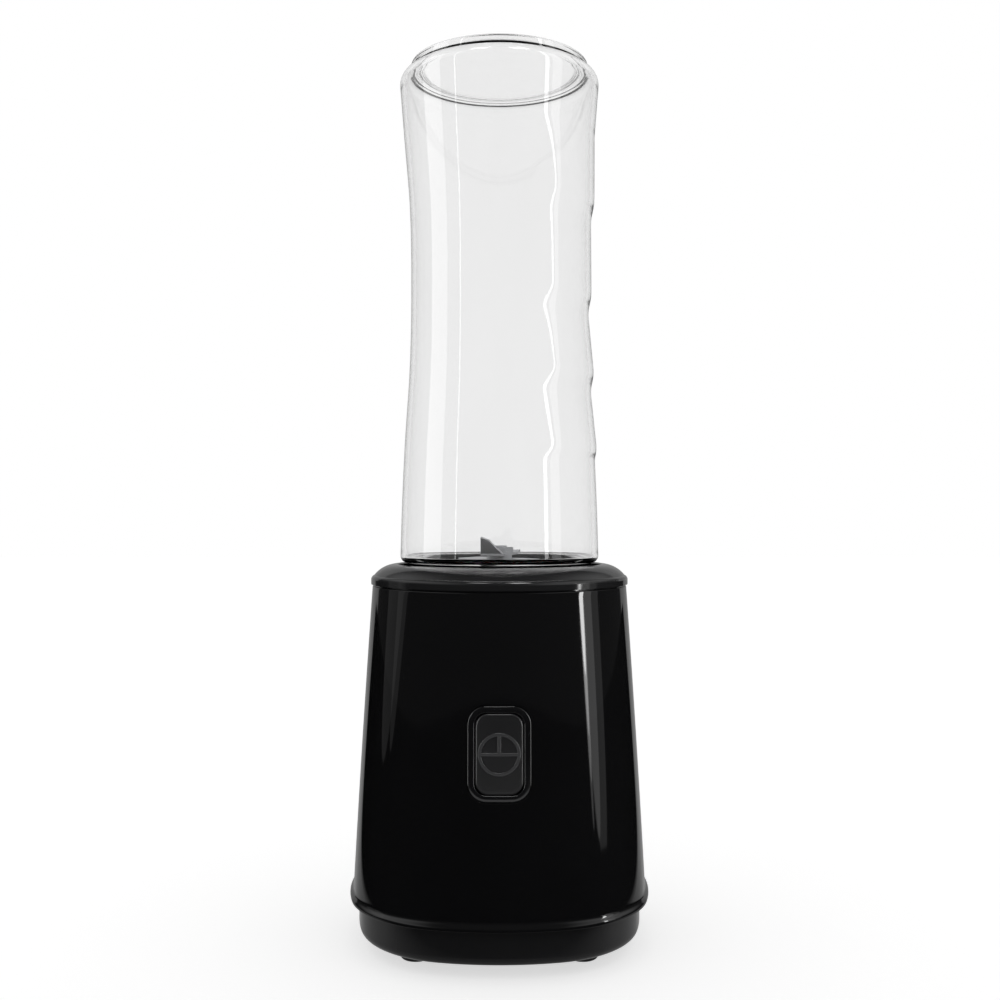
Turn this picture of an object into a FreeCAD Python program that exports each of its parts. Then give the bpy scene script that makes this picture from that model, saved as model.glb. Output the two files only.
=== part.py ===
import FreeCAD, Part
import math
import os

from FreeCAD import Vector

# Personal countertop blender, in millimetres. +Z is up, the front faces -Y, and the origin is on the
# drive axis at the surface that the feet stand on.

# Base: a glossy shell that is a rounded square at the foot and round at the top.
foot_height = 4.9
foot_radius = 6.0
foot_inset = 24.2
foot_stem_radius = 2.5
bottom_cover_height = 13.4
bottom_cover_step = 2.3
bottom_cover_edge = 3.2
housing_height = 119.1
housing_flare = 7.1  # how much wider the foot is than the round top, to each side
housing_bulge = 0.25
housing_wall = 2.4
floor_thickness = 2.5
lip_profile = ((0.0, 0.8), (1.8, 1.25), (3.6, 0.7), (5.4, -0.8))  # height above the seam, stand-off
side_arc_angle = 13.0  # half of the angle that each flat side turns through
flatness_share = 0.8  # how much larger than the half width a side's radius is, at the foot

# Top cover: a domed rim round a stepped recess for the blade holder.
shoulder_width = 11.0  # from the bottle's widest radius to the housing's top edge
rim_overhang = 0.6
rim_height = 3.6
rim_shadow_gap = 0.6
crown_height = 8.4
recess_gap = 1.0
recess_wall = 2.4
recess_depth = 2.9
well_gap = 0.8
well_wall = 2.0
well_depth = 16.4
well_floor = 3.0
cover_spigot = 2.0
cover_post_radius = 3.4

# Cup: a screw-on blade holder with an inverted bottle.
bottle_height = 198.6
bottle_radius = 39.4
bottle_wall = 2.0
bottle_edge = 2.6
neck_inset = 6.0
neck_wall = 2.0
neck_length = 12.0
end_ring_inset = 4.1
end_ring_height = 2.4
end_ring_width = 3.4
end_shoulder = 6.2
side_insets = (
    (0.0, 0.0), (0.08, 0.4), (0.24, 1.7), (0.40, 3.6), (0.58, 4.2), (0.75, 3.5), (0.88, 1.5), (1.0, -0.3),
)
grip_ridges = ((0.747, 1.4), (0.55, 2.6), (0.384, 1.6), (0.224, 0.5))
grip_drop = 6.0
grip_depth = 1.4
grip_half_angle = 72.0
thread_pitch = 6.0
thread_depth = 0.9
thread_clearance = 0.6
holder_wall = 1.6
platform_gap = 0.9
platform_rise = 1.4
platform_rim = 5.5
dish_depth = 2.9
lug_count = 3
lug_width = 12.0
lug_height = 4.0
seal_thickness = 2.1

# Blades.
blade_shaft_radius = 3.0
bushing_radius = 6.5
blade_thickness = 1.2
blade_width = 9.8
blade_reach = 10.0
blade_wing = 8.2
blade_tip = 3.2
blade_lift_angle = 70.0
blade_azimuth = 255.0
nut_across_corners = 11.0

# Drive.
shaft_radius = 3.0
coupler_radius = 10.5
coupler_teeth = 6
coupler_tooth_height = 3.5
coupler_disc = 2.5
stator_width = 52.0
stator_depth = 44.0
stator_height = 25.0
armature_radius = 14.5
commutator_radius = 9.0
commutator_height = 10.0
fan_radius = 26.0
fan_height = 8.0
fan_blades = 11
bearing_radius = 9.5
bracket_thickness = 2.5
leg_height = 12.0
lower_leg_height = 19.5
motor_bolt_x = 21.5
motor_bolt_y = 17.5
post_height = 6.0
damper_x = 30.0
damper_y = 12.0
damper_height = 4.5
damper_radius = 5.5

# Push button on the front, with its switch, and the parts on the rear wall.
button_height = 80.2
button_size = (17.0, 28.6)
button_corner = 4.6
button_gap = 0.5
button_flange = 1.9
button_flange_thickness = 1.2
bezel_size = (22.9, 33.9)
bezel_corner = 6.8
bezel_depth = 3.9
spring_room = 5.5
switch_plate_thickness = 2.4
switch_depth = 10.1
switch_half_height = 10.0
switch_post = (17.5, 16.0)
plunger_radius = 1.5
guide_offset = 12.5
interlock_radius = 1.5
interlock_reach = 15.6
interlock_half_depth = 5.0
board_thickness = 1.6
board_size = (50.0, 40.0)
board_height = 80.0
gland_height = 32.0
gland_radius = 5.9
gland_flange = 8.0
cord_radius = 3.1

# Fits and gaps.
running_fit = 0.05
small_gap = 0.1
rest_gap = 0.2
part_gap = 0.3

# Radii that follow from the sizes above, from the bottle outwards.
housing_top_radius = bottle_radius + shoulder_width
housing_bottom_half = housing_top_radius + housing_flare
rim_radius = housing_top_radius + rim_overhang
recess_radius = bottle_radius + recess_gap
bottom_cover_half = housing_bottom_half - bottom_cover_step
foot_offset = bottom_cover_half - foot_inset
neck_outer_radius = bottle_radius - neck_inset
holder_inner = neck_outer_radius + thread_depth + thread_clearance
holder_radius = holder_inner + holder_wall
well_radius = holder_radius + well_gap
well_outer = well_radius + well_wall
platform_radius = neck_outer_radius - neck_wall - platform_gap
dish_radius = platform_radius - platform_rim
end_ring_radius = bottle_radius - end_ring_inset
cover_post_ring = (well_outer + housing_top_radius - housing_wall) / 2
interlock_y = (platform_radius - 1.0 + holder_radius) / 2

# Levels, from the foot up and then down through the drive.
cover_floor_top = foot_height + floor_thickness
seam = foot_height + bottom_cover_height
rim_seam = seam + housing_height
crown = rim_seam + crown_height
ledge = rim_seam - recess_depth
well_floor_top = rim_seam - well_depth
well_underside = well_floor_top - well_floor
tab_bottom = well_underside + 2.6
tab_top = well_underside + 5.8
bottle_bottom = crown + 2 * part_gap
bottle_top = bottle_bottom + bottle_height
side_bottom = bottle_bottom + bottle_edge
side_top = bottle_top - end_ring_height - end_shoulder
neck_end = bottle_bottom - neck_length
thread_start = neck_end + 2.1
seal_top = neck_end - small_gap
channel_floor = seal_top - seal_thickness
bushing_bottom = channel_floor + 0.8
holder_bottom = well_floor_top + rest_gap
holder_rim = bottle_bottom - part_gap
platform_top = bottle_bottom + platform_rise
dish_floor = platform_top - dish_depth
bushing_top = dish_floor + 0.7
blade_stack = bushing_top + small_gap
lower_blade_level = blade_stack + 0.7
upper_blade_level = lower_blade_level + blade_thickness + 1.0
nut_level = upper_blade_level + blade_thickness
coupler_bottom = well_floor_top + 2.0
coupler_top = coupler_bottom + coupler_disc
driven_disc = coupler_top + coupler_tooth_height + part_gap
damper_top = well_underside - post_height
upper_plate = damper_top - damper_height - bracket_thickness
stator_top = upper_plate - leg_height
stator_bottom = stator_top - stator_height
lower_plate = stator_bottom - lower_leg_height - bracket_thickness
commutator_bottom = lower_plate + bracket_thickness + 3.5
brush_level = commutator_bottom + commutator_height / 2
fan_top = lower_plate - 4.0
switch_roof = well_underside - 12.0


def cylinder(radius, bottom, top, x=0.0, y=0.0):
    """An upright cylinder."""
    return Part.makeCylinder(radius, top - bottom, Vector(x, y, bottom))


def ring(outer, inner, bottom, top, x=0.0, y=0.0):
    """An upright tube."""
    return cylinder(outer, bottom, top, x, y).cut(cylinder(inner, bottom, top, x, y))


def rod_y(radius, front, back, x, z):
    """A cylinder along Y."""
    return Part.makeCylinder(radius, back - front, Vector(x, front, z), Vector(0, 1, 0))


def box(low, high):
    """A box between two corners."""
    size = [b - a for a, b in zip(low, high)]
    return Part.makeBox(size[0], size[1], size[2], Vector(*low))


def turned(points):
    """A solid of revolution about the drive axis, from a closed outline of (radius, height)."""
    corners = [Vector(r, 0, z) for r, z in points]
    face = Part.Face(Part.makePolygon(corners + corners[:1]))
    return face.revolve(Vector(0, 0, 0), Vector(0, 0, 1), 360)


def turned_edges(edges, angle=360):
    """A solid of revolution from connected edges in the XZ plane."""
    face = Part.Face(Part.Wire(edges))
    return face.revolve(Vector(0, 0, 0), Vector(0, 0, 1), angle)


def line(a, b):
    return Part.makeLine(Vector(a[0], 0, a[1]), Vector(b[0], 0, b[1]))


def arc(a, middle, b):
    points = [Vector(p[0], 0, p[1]) for p in (a, middle, b)]
    return Part.Arc(*points).toShape()


def hexagon(across_corners, bottom, top, x=0.0, y=0.0):
    """A six-sided nut body."""
    turns = [math.radians(60 * i) for i in range(7)]
    half = across_corners / 2
    corners = [Vector(x + half * math.cos(t), y + half * math.sin(t), bottom) for t in turns]
    return Part.Face(Part.makePolygon(corners)).extrude(Vector(0, 0, top - bottom))


def joined(shapes):
    """One solid from overlapping or touching shapes."""
    whole = shapes[0]
    for shape in shapes[1:]:
        whole = whole.fuse(shape)
    return whole.removeSplitter()


def around(shape, angle):
    """The shape turned about the drive axis."""
    copy = shape.copy()
    copy.rotate(Vector(0, 0, 0), Vector(0, 0, 1), angle)
    return copy


def corners_of(x, y):
    """The four places that mirror one another about the drive axis."""
    return [(sx * x, sy * y) for sx in (-1, 1) for sy in (-1, 1)]


def soft_square(half, flatness, z):
    """A rounded square of eight tangent arcs; a side's radius is half + flatness, so zero gives a circle."""
    side_angle = math.radians(side_arc_angle)
    side_radius = half + flatness
    corner_radius = side_radius - flatness / (math.cos(side_angle) - math.sin(side_angle))
    offset = (side_radius - corner_radius) * math.sin(side_angle)
    edges = []
    for quarter in range(4):
        start = math.radians(90 * quarter)
        side_centre = Vector(-flatness * math.cos(start), -flatness * math.sin(start), z)
        corner_turn = start + math.pi / 4
        reach = offset * math.sqrt(2)
        corner_centre = Vector(reach * math.cos(corner_turn), reach * math.sin(corner_turn), z)
        for centre, radius, low, high in (
            (side_centre, side_radius, start - side_angle, start + side_angle),
            (corner_centre, corner_radius, start + side_angle, start + math.pi / 2 - side_angle),
        ):
            angles = (low, (low + high) / 2, high)
            points = [centre + Vector(radius * math.cos(a), radius * math.sin(a), 0) for a in angles]
            edges.append(Part.Arc(*points).toShape())
    return Part.Wire(edges)


def soft_square_block(half, bottom, top, flat_half=None):
    """An upright block of the rounded square; flat_half is the half width that sets its flatness."""
    flatness = flatness_share * (flat_half or half)
    return Part.Face(soft_square(half, flatness, bottom)).extrude(Vector(0, 0, top - bottom))


def housing_half(z):
    """The housing's half width at a height: a straight taper with a slight bulge."""
    share = (z - seam) / housing_height
    taper = (housing_top_radius - housing_bottom_half) * share
    return housing_bottom_half + taper + housing_bulge * 4 * share * (1 - share)


def housing_flatness(z):
    """The sides grow rounder upwards, until the top is a circle."""
    return flatness_share * housing_bottom_half * (1 - (z - seam) / housing_height)


def housing_skin(offset):
    """The housing's outer form, grown by offset: a rounded square below and a circle above."""
    levels = [seam + housing_height * i / 3 for i in range(4)]
    outlines = [soft_square(housing_half(z) + offset, housing_flatness(z), z) for z in levels]
    return Part.makeLoft(outlines, True)


def rounded_block(size, corner, front, back):
    """A block along Y with rounded corners, centred on the button."""
    half_x = size[0] / 2
    half_z = size[1] / 2
    block = box((-half_x, front, button_height - half_z), (half_x, back, button_height + half_z))
    along = [e for e in block.Edges if abs(e.tangentAt(e.FirstParameter).y) > 0.9]
    return block.makeFillet(corner, along)


def grown(size, gap):
    return (size[0] + 2 * gap, size[1] + 2 * gap)


def front_of_wall(x, z):
    """How far in front of the axis the housing's flat side lies, at a distance x to the side."""
    flatness = housing_flatness(z)
    return math.sqrt((housing_half(z) + flatness) ** 2 - x ** 2) - flatness


# The front group and the control board, measured along Y from the drive axis.
flange_half_width = button_size[0] / 2 + button_flange
flange_top = button_height + button_size[1] / 2 + button_flange
button_flange_front = part_gap + bezel_depth - front_of_wall(flange_half_width, flange_top)
button_flange_back = button_flange_front + button_flange_thickness
switch_plate_front = button_flange_back + spring_room
switch_plate_back = switch_plate_front + switch_plate_thickness
board_front = interlock_y + interlock_half_depth + rest_gap
board_back = board_front + board_thickness
front_clear = -housing_bottom_half - 10.0  # a plane in front of the base
front_deep = button_flange_front + 5.0  # a plane well behind the front wall


def screw_hole_places():
    """Where the bottom cover's screws stand, clear of the feet."""
    return corners_of(22.0, bottom_cover_half - 15.2)


def make_housing():
    """The shell, with its lip, button hole, screw bosses and inner tabs."""
    skin = housing_skin(0)
    flatness = housing_flatness(seam)
    bead = [soft_square(housing_bottom_half + out, flatness, seam + up) for up, out in lip_profile]
    lip = Part.makeLoft(bead, True)
    shell = joined([skin, lip]).cut(housing_skin(-housing_wall))
    bosses = []
    for x, y in screw_hole_places():
        wall_y = math.copysign(housing_bottom_half, y)
        rib = box((x - 1.2, min(y, wall_y), seam + 6), (x + 1.2, max(y, wall_y), seam + 20))
        bosses += [cylinder(4.0, seam + 5.7, seam + 22, x, y), rib]
    for i in range(4):
        tab = cylinder(3.7, tab_bottom, tab_top, cover_post_ring)
        arm = box((cover_post_ring, -3.7, tab_bottom), (rim_radius + 2, 3.7, tab_top))
        bosses.append(around(joined([tab, arm]), 45 + 90 * i))
    for x, z in corners_of(*switch_post):
        bosses.append(rod_y(3.0, -rim_radius - 6, switch_plate_front, x, button_height + z))
    for x, z in corners_of(board_size[0] / 2 - 5, board_size[1] / 2 - 5):
        bosses.append(rod_y(3.0, board_back, rim_radius + 6, x, board_height + z))
    inside = housing_skin(-housing_wall / 2)
    shell = joined([shell] + [boss.common(inside) for boss in bosses])
    for x, y in screw_hole_places():
        shell = shell.cut(cylinder(1.55, seam + 5, seam + 18, x, y))
    for i in range(4):
        hole = cylinder(1.7, well_underside, well_underside + 8, cover_post_ring)
        shell = shell.cut(around(hole, 45 + 90 * i))
    for x, z in corners_of(*switch_post):
        shell = shell.cut(rod_y(1.05, switch_plate_front - 6, switch_plate_front + 1, x, button_height + z))
    for x, z in corners_of(board_size[0] / 2 - 5, board_size[1] / 2 - 5):
        shell = shell.cut(rod_y(1.05, board_back - 1, board_back + 6, x, board_height + z))
    hole = rounded_block(grown(bezel_size, small_gap), bezel_corner + small_gap, front_clear, front_deep)
    shell = shell.cut(hole)
    gland_wall = housing_half(gland_height)
    return shell.cut(rod_y(gland_radius + small_gap, gland_wall - 10, gland_wall + 10, 0, gland_height))


def make_bottom_cover():
    """A tray with vents, foot holes, screw tubes and a spigot that centres it in the housing."""
    tray = soft_square_block(bottom_cover_half, foot_height, seam)
    low = [e for e in tray.Edges if abs(e.BoundBox.ZMax - foot_height) < 0.01]
    tray = tray.makeFillet(bottom_cover_edge, low)
    inner = bottom_cover_half - housing_wall
    tray = tray.cut(soft_square_block(inner, cover_floor_top, seam, bottom_cover_half))
    spigot_outer = housing_bottom_half - housing_wall - part_gap
    spigot = soft_square_block(spigot_outer - 0.2, seam - 1, seam + 3.5, bottom_cover_half)
    spigot = spigot.cut(soft_square_block(inner, seam - 1, seam + 3.5, bottom_cover_half))
    tray = joined([tray, spigot])
    for x, y in screw_hole_places():
        tray = joined([tray, cylinder(4.6, cover_floor_top - 0.5, seam + 5.7, x, y)])
        tray = tray.cut(cylinder(3.5, foot_height - 1, seam + 1.7, x, y))
        tray = tray.cut(cylinder(1.7, seam, seam + 6, x, y))
    for x, y in corners_of(foot_offset, foot_offset):
        tray = tray.cut(cylinder(foot_stem_radius + small_gap, 0, cover_floor_top + 1, x, y))
    for i in range(-4, 5):
        slot = box((-13, i * 5.2 - 1.2, foot_height - 1), (13, i * 5.2 + 1.2, cover_floor_top + 1))
        tray = tray.cut(slot)
    return tray


def make_foot(x, y):
    """A rubber pad with a stem pushed into the bottom cover."""
    pad = cylinder(foot_radius, 0, foot_height, x, y)
    rims = [e for e in pad.Edges if e.BoundBox.ZMax < 0.01 and len(e.Vertexes) == 1]
    pad = pad.makeFillet(1.6, rims)
    return joined([pad, cylinder(foot_stem_radius, foot_height - 1, cover_floor_top + 0.8, x, y)])


def make_top_cover():
    """The domed rim, its stepped recess, the well floor and what hangs under it."""
    spigot_outer = housing_top_radius - housing_wall - small_gap
    rim_top = rim_seam + rim_height
    under = rim_seam + rim_shadow_gap
    crown_outer = recess_radius + 1.5
    bend = recess_radius + recess_wall
    dome_foot = (rim_radius - 1.2, rim_top + 0.5)
    edges = [
        line((spigot_outer, rim_seam - 5.4), (spigot_outer, rim_seam)),
        line((spigot_outer, rim_seam), (rim_radius - 1.6, rim_seam)),
        line((rim_radius - 1.6, rim_seam), (rim_radius - 1.6, under)),
        line((rim_radius - 1.6, under), (rim_radius, under)),
        line((rim_radius, under), (rim_radius, rim_top - 1.0)),
        arc((rim_radius, rim_top - 1.0), (rim_radius - 0.3, rim_top - 0.2), dome_foot),
        arc(dome_foot, (recess_radius + 6.2, crown - 1.5), (crown_outer, crown)),
        line((crown_outer, crown), (recess_radius + 0.5, crown)),
        line((recess_radius + 0.5, crown), (recess_radius, crown - 0.5)),
        line((recess_radius, crown - 0.5), (recess_radius, ledge)),
        line((recess_radius, ledge), (well_radius, ledge)),
        line((well_radius, ledge), (well_radius, well_floor_top)),
        line((well_radius, well_floor_top), (8.0, well_floor_top)),
        line((8.0, well_floor_top), (8.0, well_floor_top + 1.6)),
        line((8.0, well_floor_top + 1.6), (6.0, well_floor_top + 1.6)),
        line((6.0, well_floor_top + 1.6), (6.0, well_underside)),
        line((6.0, well_underside), (well_outer, well_underside)),
        line((well_outer, well_underside), (well_outer, ledge - recess_wall)),
        line((well_outer, ledge - recess_wall), (bend, ledge - recess_wall)),
        line((bend, ledge - recess_wall), (bend, crown - 3.4)),
        line((bend, crown - 3.4), (spigot_outer - cover_spigot, crown - 5.0)),
        line((spigot_outer - cover_spigot, crown - 5.0), (spigot_outer - cover_spigot, rim_seam - 5.4)),
        line((spigot_outer - cover_spigot, rim_seam - 5.4), (spigot_outer, rim_seam - 5.4)),
    ]
    cover = turned_edges(edges)
    added = []
    for i in range(4):
        post = cylinder(cover_post_radius, tab_top, rim_seam + 3.0, cover_post_ring)
        added.append(around(post, 45 + 90 * i))
    for x, y in corners_of(damper_x, damper_y):
        added.append(cylinder(4.5, damper_top, well_underside + 0.5, x, y))
    added.append(cylinder(3.8, well_underside - 6, well_underside + 0.5, 0, interlock_y))
    for side in (-1, 1):
        inner = side * 3.6
        outer = side * 5.6
        low = (min(inner, outer), interlock_y - 7, well_underside - 20)
        high = (max(inner, outer), interlock_y + interlock_half_depth, well_underside + 0.5)
        added.append(box(low, high))
    for i in range(lug_count):
        for side in (-1, 1):
            middle = side * (lug_width / 2 + 2.0)
            rib = box((well_radius + 0.6, middle - 1.5, ledge - 0.5), (bend - 1, middle + 1.5, ledge + 6.5))
            added.append(around(rib, 90 + 360 / lug_count * i))
    cover = joined([cover] + added)
    for i in range(4):
        pilot = cylinder(1.55, well_underside + 5, rim_seam - 4, cover_post_ring)
        cover = cover.cut(around(pilot, 45 + 90 * i))
    for x, y in corners_of(damper_x, damper_y):
        cover = cover.cut(cylinder(1.95, damper_top - 1, well_underside - 0.4, x, y))
    pin_bore = interlock_radius + running_fit
    pin_hole = cylinder(pin_bore, well_underside - 7, well_floor_top + 1, 0, interlock_y)
    return cover.cut(pin_hole)


def thread_ridge(root, crest, start, turns):
    """A right-hand helical ridge of trapezoid section, from the root radius out or in to the crest."""
    height = thread_pitch * turns
    helix = Part.makeHelix(thread_pitch, height, root)
    outline = [(root, -1.1), (crest, -0.6), (crest, 0.6), (root, 1.1), (root, -1.1)]
    section = Part.makePolygon([Vector(r, 0, z) for r, z in outline])
    ridge = Part.Wire(helix.Edges).makePipeShell([section], True, True)
    ridge.translate(Vector(0, 0, start))
    return ridge


def side_curve(inset):
    """The waisted side from the lower edge to the shoulder, set in from the outer surface by inset."""
    points = []
    for share, waist in side_insets:
        radius = bottle_radius - waist - inset
        points.append(Vector(radius, 0, side_bottom + (side_top - side_bottom) * share))
    curve = Part.BSplineCurve()
    curve.interpolate(points)
    return curve.toShape()


def bottle_outer():
    """The bottle's outer form: neck, rounded lower edge, waisted side, shoulder and end ring."""
    shoulder_radius = bottle_radius - side_insets[-1][1]
    step = bottle_top - end_ring_height
    bend = 1 - math.sqrt(0.5)
    middle = (shoulder_radius - bend * (shoulder_radius - end_ring_radius), step - bend * end_shoulder)
    edge_start = (bottle_radius - bottle_edge, bottle_bottom)
    edge_middle = (bottle_radius - bend * bottle_edge, bottle_bottom + bend * bottle_edge)
    recess = bottle_top - 1.6
    inner_ring = end_ring_radius - end_ring_width
    edges = [
        line((0, neck_end), (neck_outer_radius, neck_end)),
        line((neck_outer_radius, neck_end), (neck_outer_radius, bottle_bottom)),
        line((neck_outer_radius, bottle_bottom), edge_start),
        arc(edge_start, edge_middle, (bottle_radius, side_bottom)),
        side_curve(0),
        arc((shoulder_radius, side_top), middle, (end_ring_radius, step)),
        line((end_ring_radius, step), (end_ring_radius, bottle_top - 0.8)),
        line((end_ring_radius, bottle_top - 0.8), (end_ring_radius - 0.8, bottle_top)),
        line((end_ring_radius - 0.8, bottle_top), (inner_ring, bottle_top)),
        line((inner_ring, bottle_top), (inner_ring - 1.0, recess)),
        line((inner_ring - 1.0, recess), (0, recess)),
        line((0, recess), (0, neck_end)),
    ]
    return turned_edges(edges)


def bottle_inner():
    """The space inside the bottle, open at the neck."""
    neck_inner = neck_outer_radius - neck_wall
    low_radius = bottle_radius - bottle_wall
    high_radius = low_radius - side_insets[-1][1]
    ceiling = bottle_top - 4.0
    shoulder = ceiling - side_top
    bend = 1 - math.sqrt(0.5)
    middle = (high_radius - bend * shoulder, ceiling - bend * shoulder)
    edges = [
        line((0, neck_end - 1), (neck_inner, neck_end - 1)),
        line((neck_inner, neck_end - 1), (neck_inner, bottle_bottom + 1.0)),
        line((neck_inner, bottle_bottom + 1.0), (low_radius - 1.2, bottle_bottom + bottle_wall)),
        line((low_radius - 1.2, bottle_bottom + bottle_wall), (low_radius, side_bottom)),
        side_curve(bottle_wall),
        arc((high_radius, side_top), middle, (high_radius - shoulder, ceiling)),
        line((high_radius - shoulder, ceiling), (0, ceiling)),
        line((0, ceiling), (0, neck_end - 1)),
    ]
    return turned_edges(edges)


def bottle_grips():
    """Finger grips on one side: the wall swells down to each ridge, then steps in under it."""
    span = side_top - side_bottom
    outline = [(20.0, side_bottom + 0.90 * span), (bottle_radius - 1.3, side_bottom + 0.90 * span)]
    for share, inset in grip_ridges:
        height = side_bottom + share * span
        radius = bottle_radius - inset
        outline.append((radius, height))
        outline.append((radius - grip_depth, height - grip_drop))
    outline += [(bottle_radius - 0.5, side_bottom + 0.10 * span), (20.0, side_bottom + 0.10 * span)]
    corners = [Vector(r, 0, z) for r, z in outline]
    face = Part.Face(Part.makePolygon(corners + corners[:1]))
    grips = face.revolve(Vector(0, 0, 0), Vector(0, 0, 1), 2 * grip_half_angle)
    return around(grips, -grip_half_angle)


def make_bottle():
    """The clear bottle, closed end up, with its screw thread round the neck."""
    crest = neck_outer_radius + thread_depth
    thread = thread_ridge(neck_outer_radius - 0.2, crest, thread_start, 1.0)
    body = bottle_outer().fuse(bottle_grips()).cut(bottle_inner())
    return body.fuse(thread)


def make_blade_holder():
    """The cap that the bottle screws into: outer wall, sealing channel and a dished platform."""
    skirt_inner = holder_radius - 2.0
    channel_under = channel_floor - 2.2
    platform_inner = platform_radius - 2.2
    cap = turned([
        (holder_radius, holder_bottom), (holder_radius, holder_rim), (holder_inner, holder_rim),
        (holder_inner, channel_floor), (platform_radius, channel_floor),
        (platform_radius, platform_top - 0.8),
        (platform_radius - 0.8, platform_top), (dish_radius, platform_top), (dish_radius - 2.0, dish_floor),
        (bushing_radius, dish_floor), (bushing_radius, bushing_bottom),
        (bushing_radius + 2.5, bushing_bottom),
        (bushing_radius + 2.5, dish_floor - 2.2), (dish_radius - 3.4, dish_floor - 2.2),
        (dish_radius - 1.0, platform_top - 2.2), (platform_inner, platform_top - 2.2),
        (platform_inner, channel_under), (skirt_inner, channel_under), (skirt_inner, holder_bottom + 2.0),
        (platform_radius - 1.0, holder_bottom + 2.0), (platform_radius - 1.0, holder_bottom),
    ])
    ridge = thread_ridge(holder_inner + 0.2, holder_inner - 1.1, thread_start + thread_pitch / 2, 0.75)
    lugs = []
    for i in range(lug_count):
        low = (holder_radius - 0.6, -lug_width / 2, ledge + 0.4)
        high = (recess_radius - 0.8, lug_width / 2, ledge + 0.4 + lug_height)
        lugs.append(around(box(low, high), 90 + 360 / lug_count * i))
    return joined([cap] + lugs).fuse(ridge)


def make_blade_bushing():
    return ring(bushing_radius, blade_shaft_radius + running_fit, bushing_bottom, bushing_top)


def make_cup_seal():
    """The silicone ring that the bottle's neck end presses on."""
    return ring(holder_inner - part_gap, platform_radius + part_gap, channel_floor, seal_top)


def blade_plate(level, half_width, reach):
    """The flat middle of a blade, along X, with its hole for the shaft."""
    plate = box((-reach, -half_width, level), (reach, half_width, level + blade_thickness))
    return plate.cut(cylinder(blade_shaft_radius + running_fit, level - 1, level + blade_thickness + 1))


def wing(length, root, tip, lean, angle, level):
    """A tapered wing from the middle's end along +X, bent up by angle, with its tip leaning to one side."""
    half = root / 2
    outline = [(0, -half), (length, lean - tip / 2), (length - 1.2, lean + tip / 2), (0, half), (0, -half)]
    face = Part.Face(Part.makePolygon([Vector(x, y, 0) for x, y in outline]))
    plate = face.extrude(Vector(0, 0, blade_thickness))
    plate.rotate(Vector(0, 0, 0), Vector(0, 1, 0), -angle)
    plate.translate(Vector(blade_reach, 0, level))
    return plate


def make_upper_blade():
    """One wing bent steeply up and the opposite one almost flat."""
    half = blade_width / 2
    plate = blade_plate(upper_blade_level, half, blade_reach)
    steep = wing(blade_wing, blade_width, blade_tip, -2.6, blade_lift_angle, upper_blade_level)
    flat = around(wing(blade_wing, blade_width, blade_tip, -2.6, 8, upper_blade_level), 180)
    bend_place = Vector(blade_reach, -half, nut_level)
    bend = Part.makeCylinder(blade_thickness, blade_width, bend_place, Vector(0, 1, 0))
    above = box((blade_reach - 2, -half, upper_blade_level), (blade_reach + 2, half, nut_level + 2))
    bend = bend.common(above).common(box((0, -half, 0), (blade_reach + 0.4, half, nut_level)))
    return around(joined([plate, steep, flat, bend]), blade_azimuth)


def make_lower_blade():
    """Two shallow wings across the upper blade."""
    plate = blade_plate(lower_blade_level, blade_width / 2, blade_reach)
    wings = [around(wing(7.0, blade_width, 4.0, 2.0, 0, lower_blade_level), turn) for turn in (0, 180)]
    return around(joined([plate] + wings), blade_azimuth + 90)


def make_blade_washers():
    """The thrust washer under the blades and the spacer between them."""
    bore = blade_shaft_radius + running_fit
    under = ring(5.0, bore, blade_stack, lower_blade_level)
    between = ring(5.0, bore, lower_blade_level + blade_thickness, upper_blade_level)
    return Part.makeCompound([under, between])


def make_blade_nut():
    nut = hexagon(nut_across_corners, nut_level, nut_level + 2.6)
    return nut.cut(cylinder(blade_shaft_radius + running_fit, nut_level - 1, nut_level + 3))


def make_blade_shaft():
    return cylinder(blade_shaft_radius, coupler_top + 0.7, nut_level + 3.2)


def coupler_teeth_ring(bottom, top, phase):
    """Radial teeth that leave a wide gap for the mating coupler's teeth."""
    teeth = []
    for i in range(coupler_teeth):
        tooth = box((coupler_radius - 4.0, -1.1, bottom), (coupler_radius - 0.3, 1.1, top))
        teeth.append(around(tooth, phase + 360 / coupler_teeth * i))
    return teeth


def make_drive_coupler():
    disc = ring(coupler_radius, shaft_radius, coupler_bottom, coupler_top)
    teeth = coupler_teeth_ring(coupler_top - 0.5, coupler_top + coupler_tooth_height, 0)
    return joined([disc] + teeth)


def make_driven_coupler():
    disc = ring(coupler_radius, blade_shaft_radius, driven_disc, driven_disc + coupler_disc)
    hub = ring(5.5, blade_shaft_radius, driven_disc, bushing_bottom - part_gap)
    teeth = coupler_teeth_ring(coupler_top + part_gap, driven_disc + 0.5, 180 / coupler_teeth)
    return joined([disc, hub] + teeth)


def make_motor_shaft():
    return cylinder(shaft_radius, fan_top - fan_height - 1, coupler_top - 0.2)


def make_stator_core():
    """The lamination stack: two poles in front and behind, with slots for the field coils."""
    half_x = stator_width / 2
    half_y = stator_depth / 2
    core = box((-half_x, -half_y, stator_bottom), (half_x, half_y, stator_top))
    core = core.makeFillet(4.0, [e for e in core.Edges if e.BoundBox.ZLength > stator_height - 0.01])
    core = core.cut(cylinder(armature_radius + 0.6, stator_bottom, stator_top))
    for x, y in corners_of(14.3, 12.6):
        slot = box((x - 3.3, y - 4.6, stator_bottom), (x + 3.3, y + 4.6, stator_top))
        core = core.cut(slot)
    for x, y in bolt_places():
        core = core.cut(cylinder(1.85, stator_bottom, stator_top, x, y))
    return core


def bolt_places():
    """The two opposite corners that the long motor bolts pass through."""
    return [(motor_bolt_x, motor_bolt_y), (-motor_bolt_x, -motor_bolt_y)]


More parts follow.
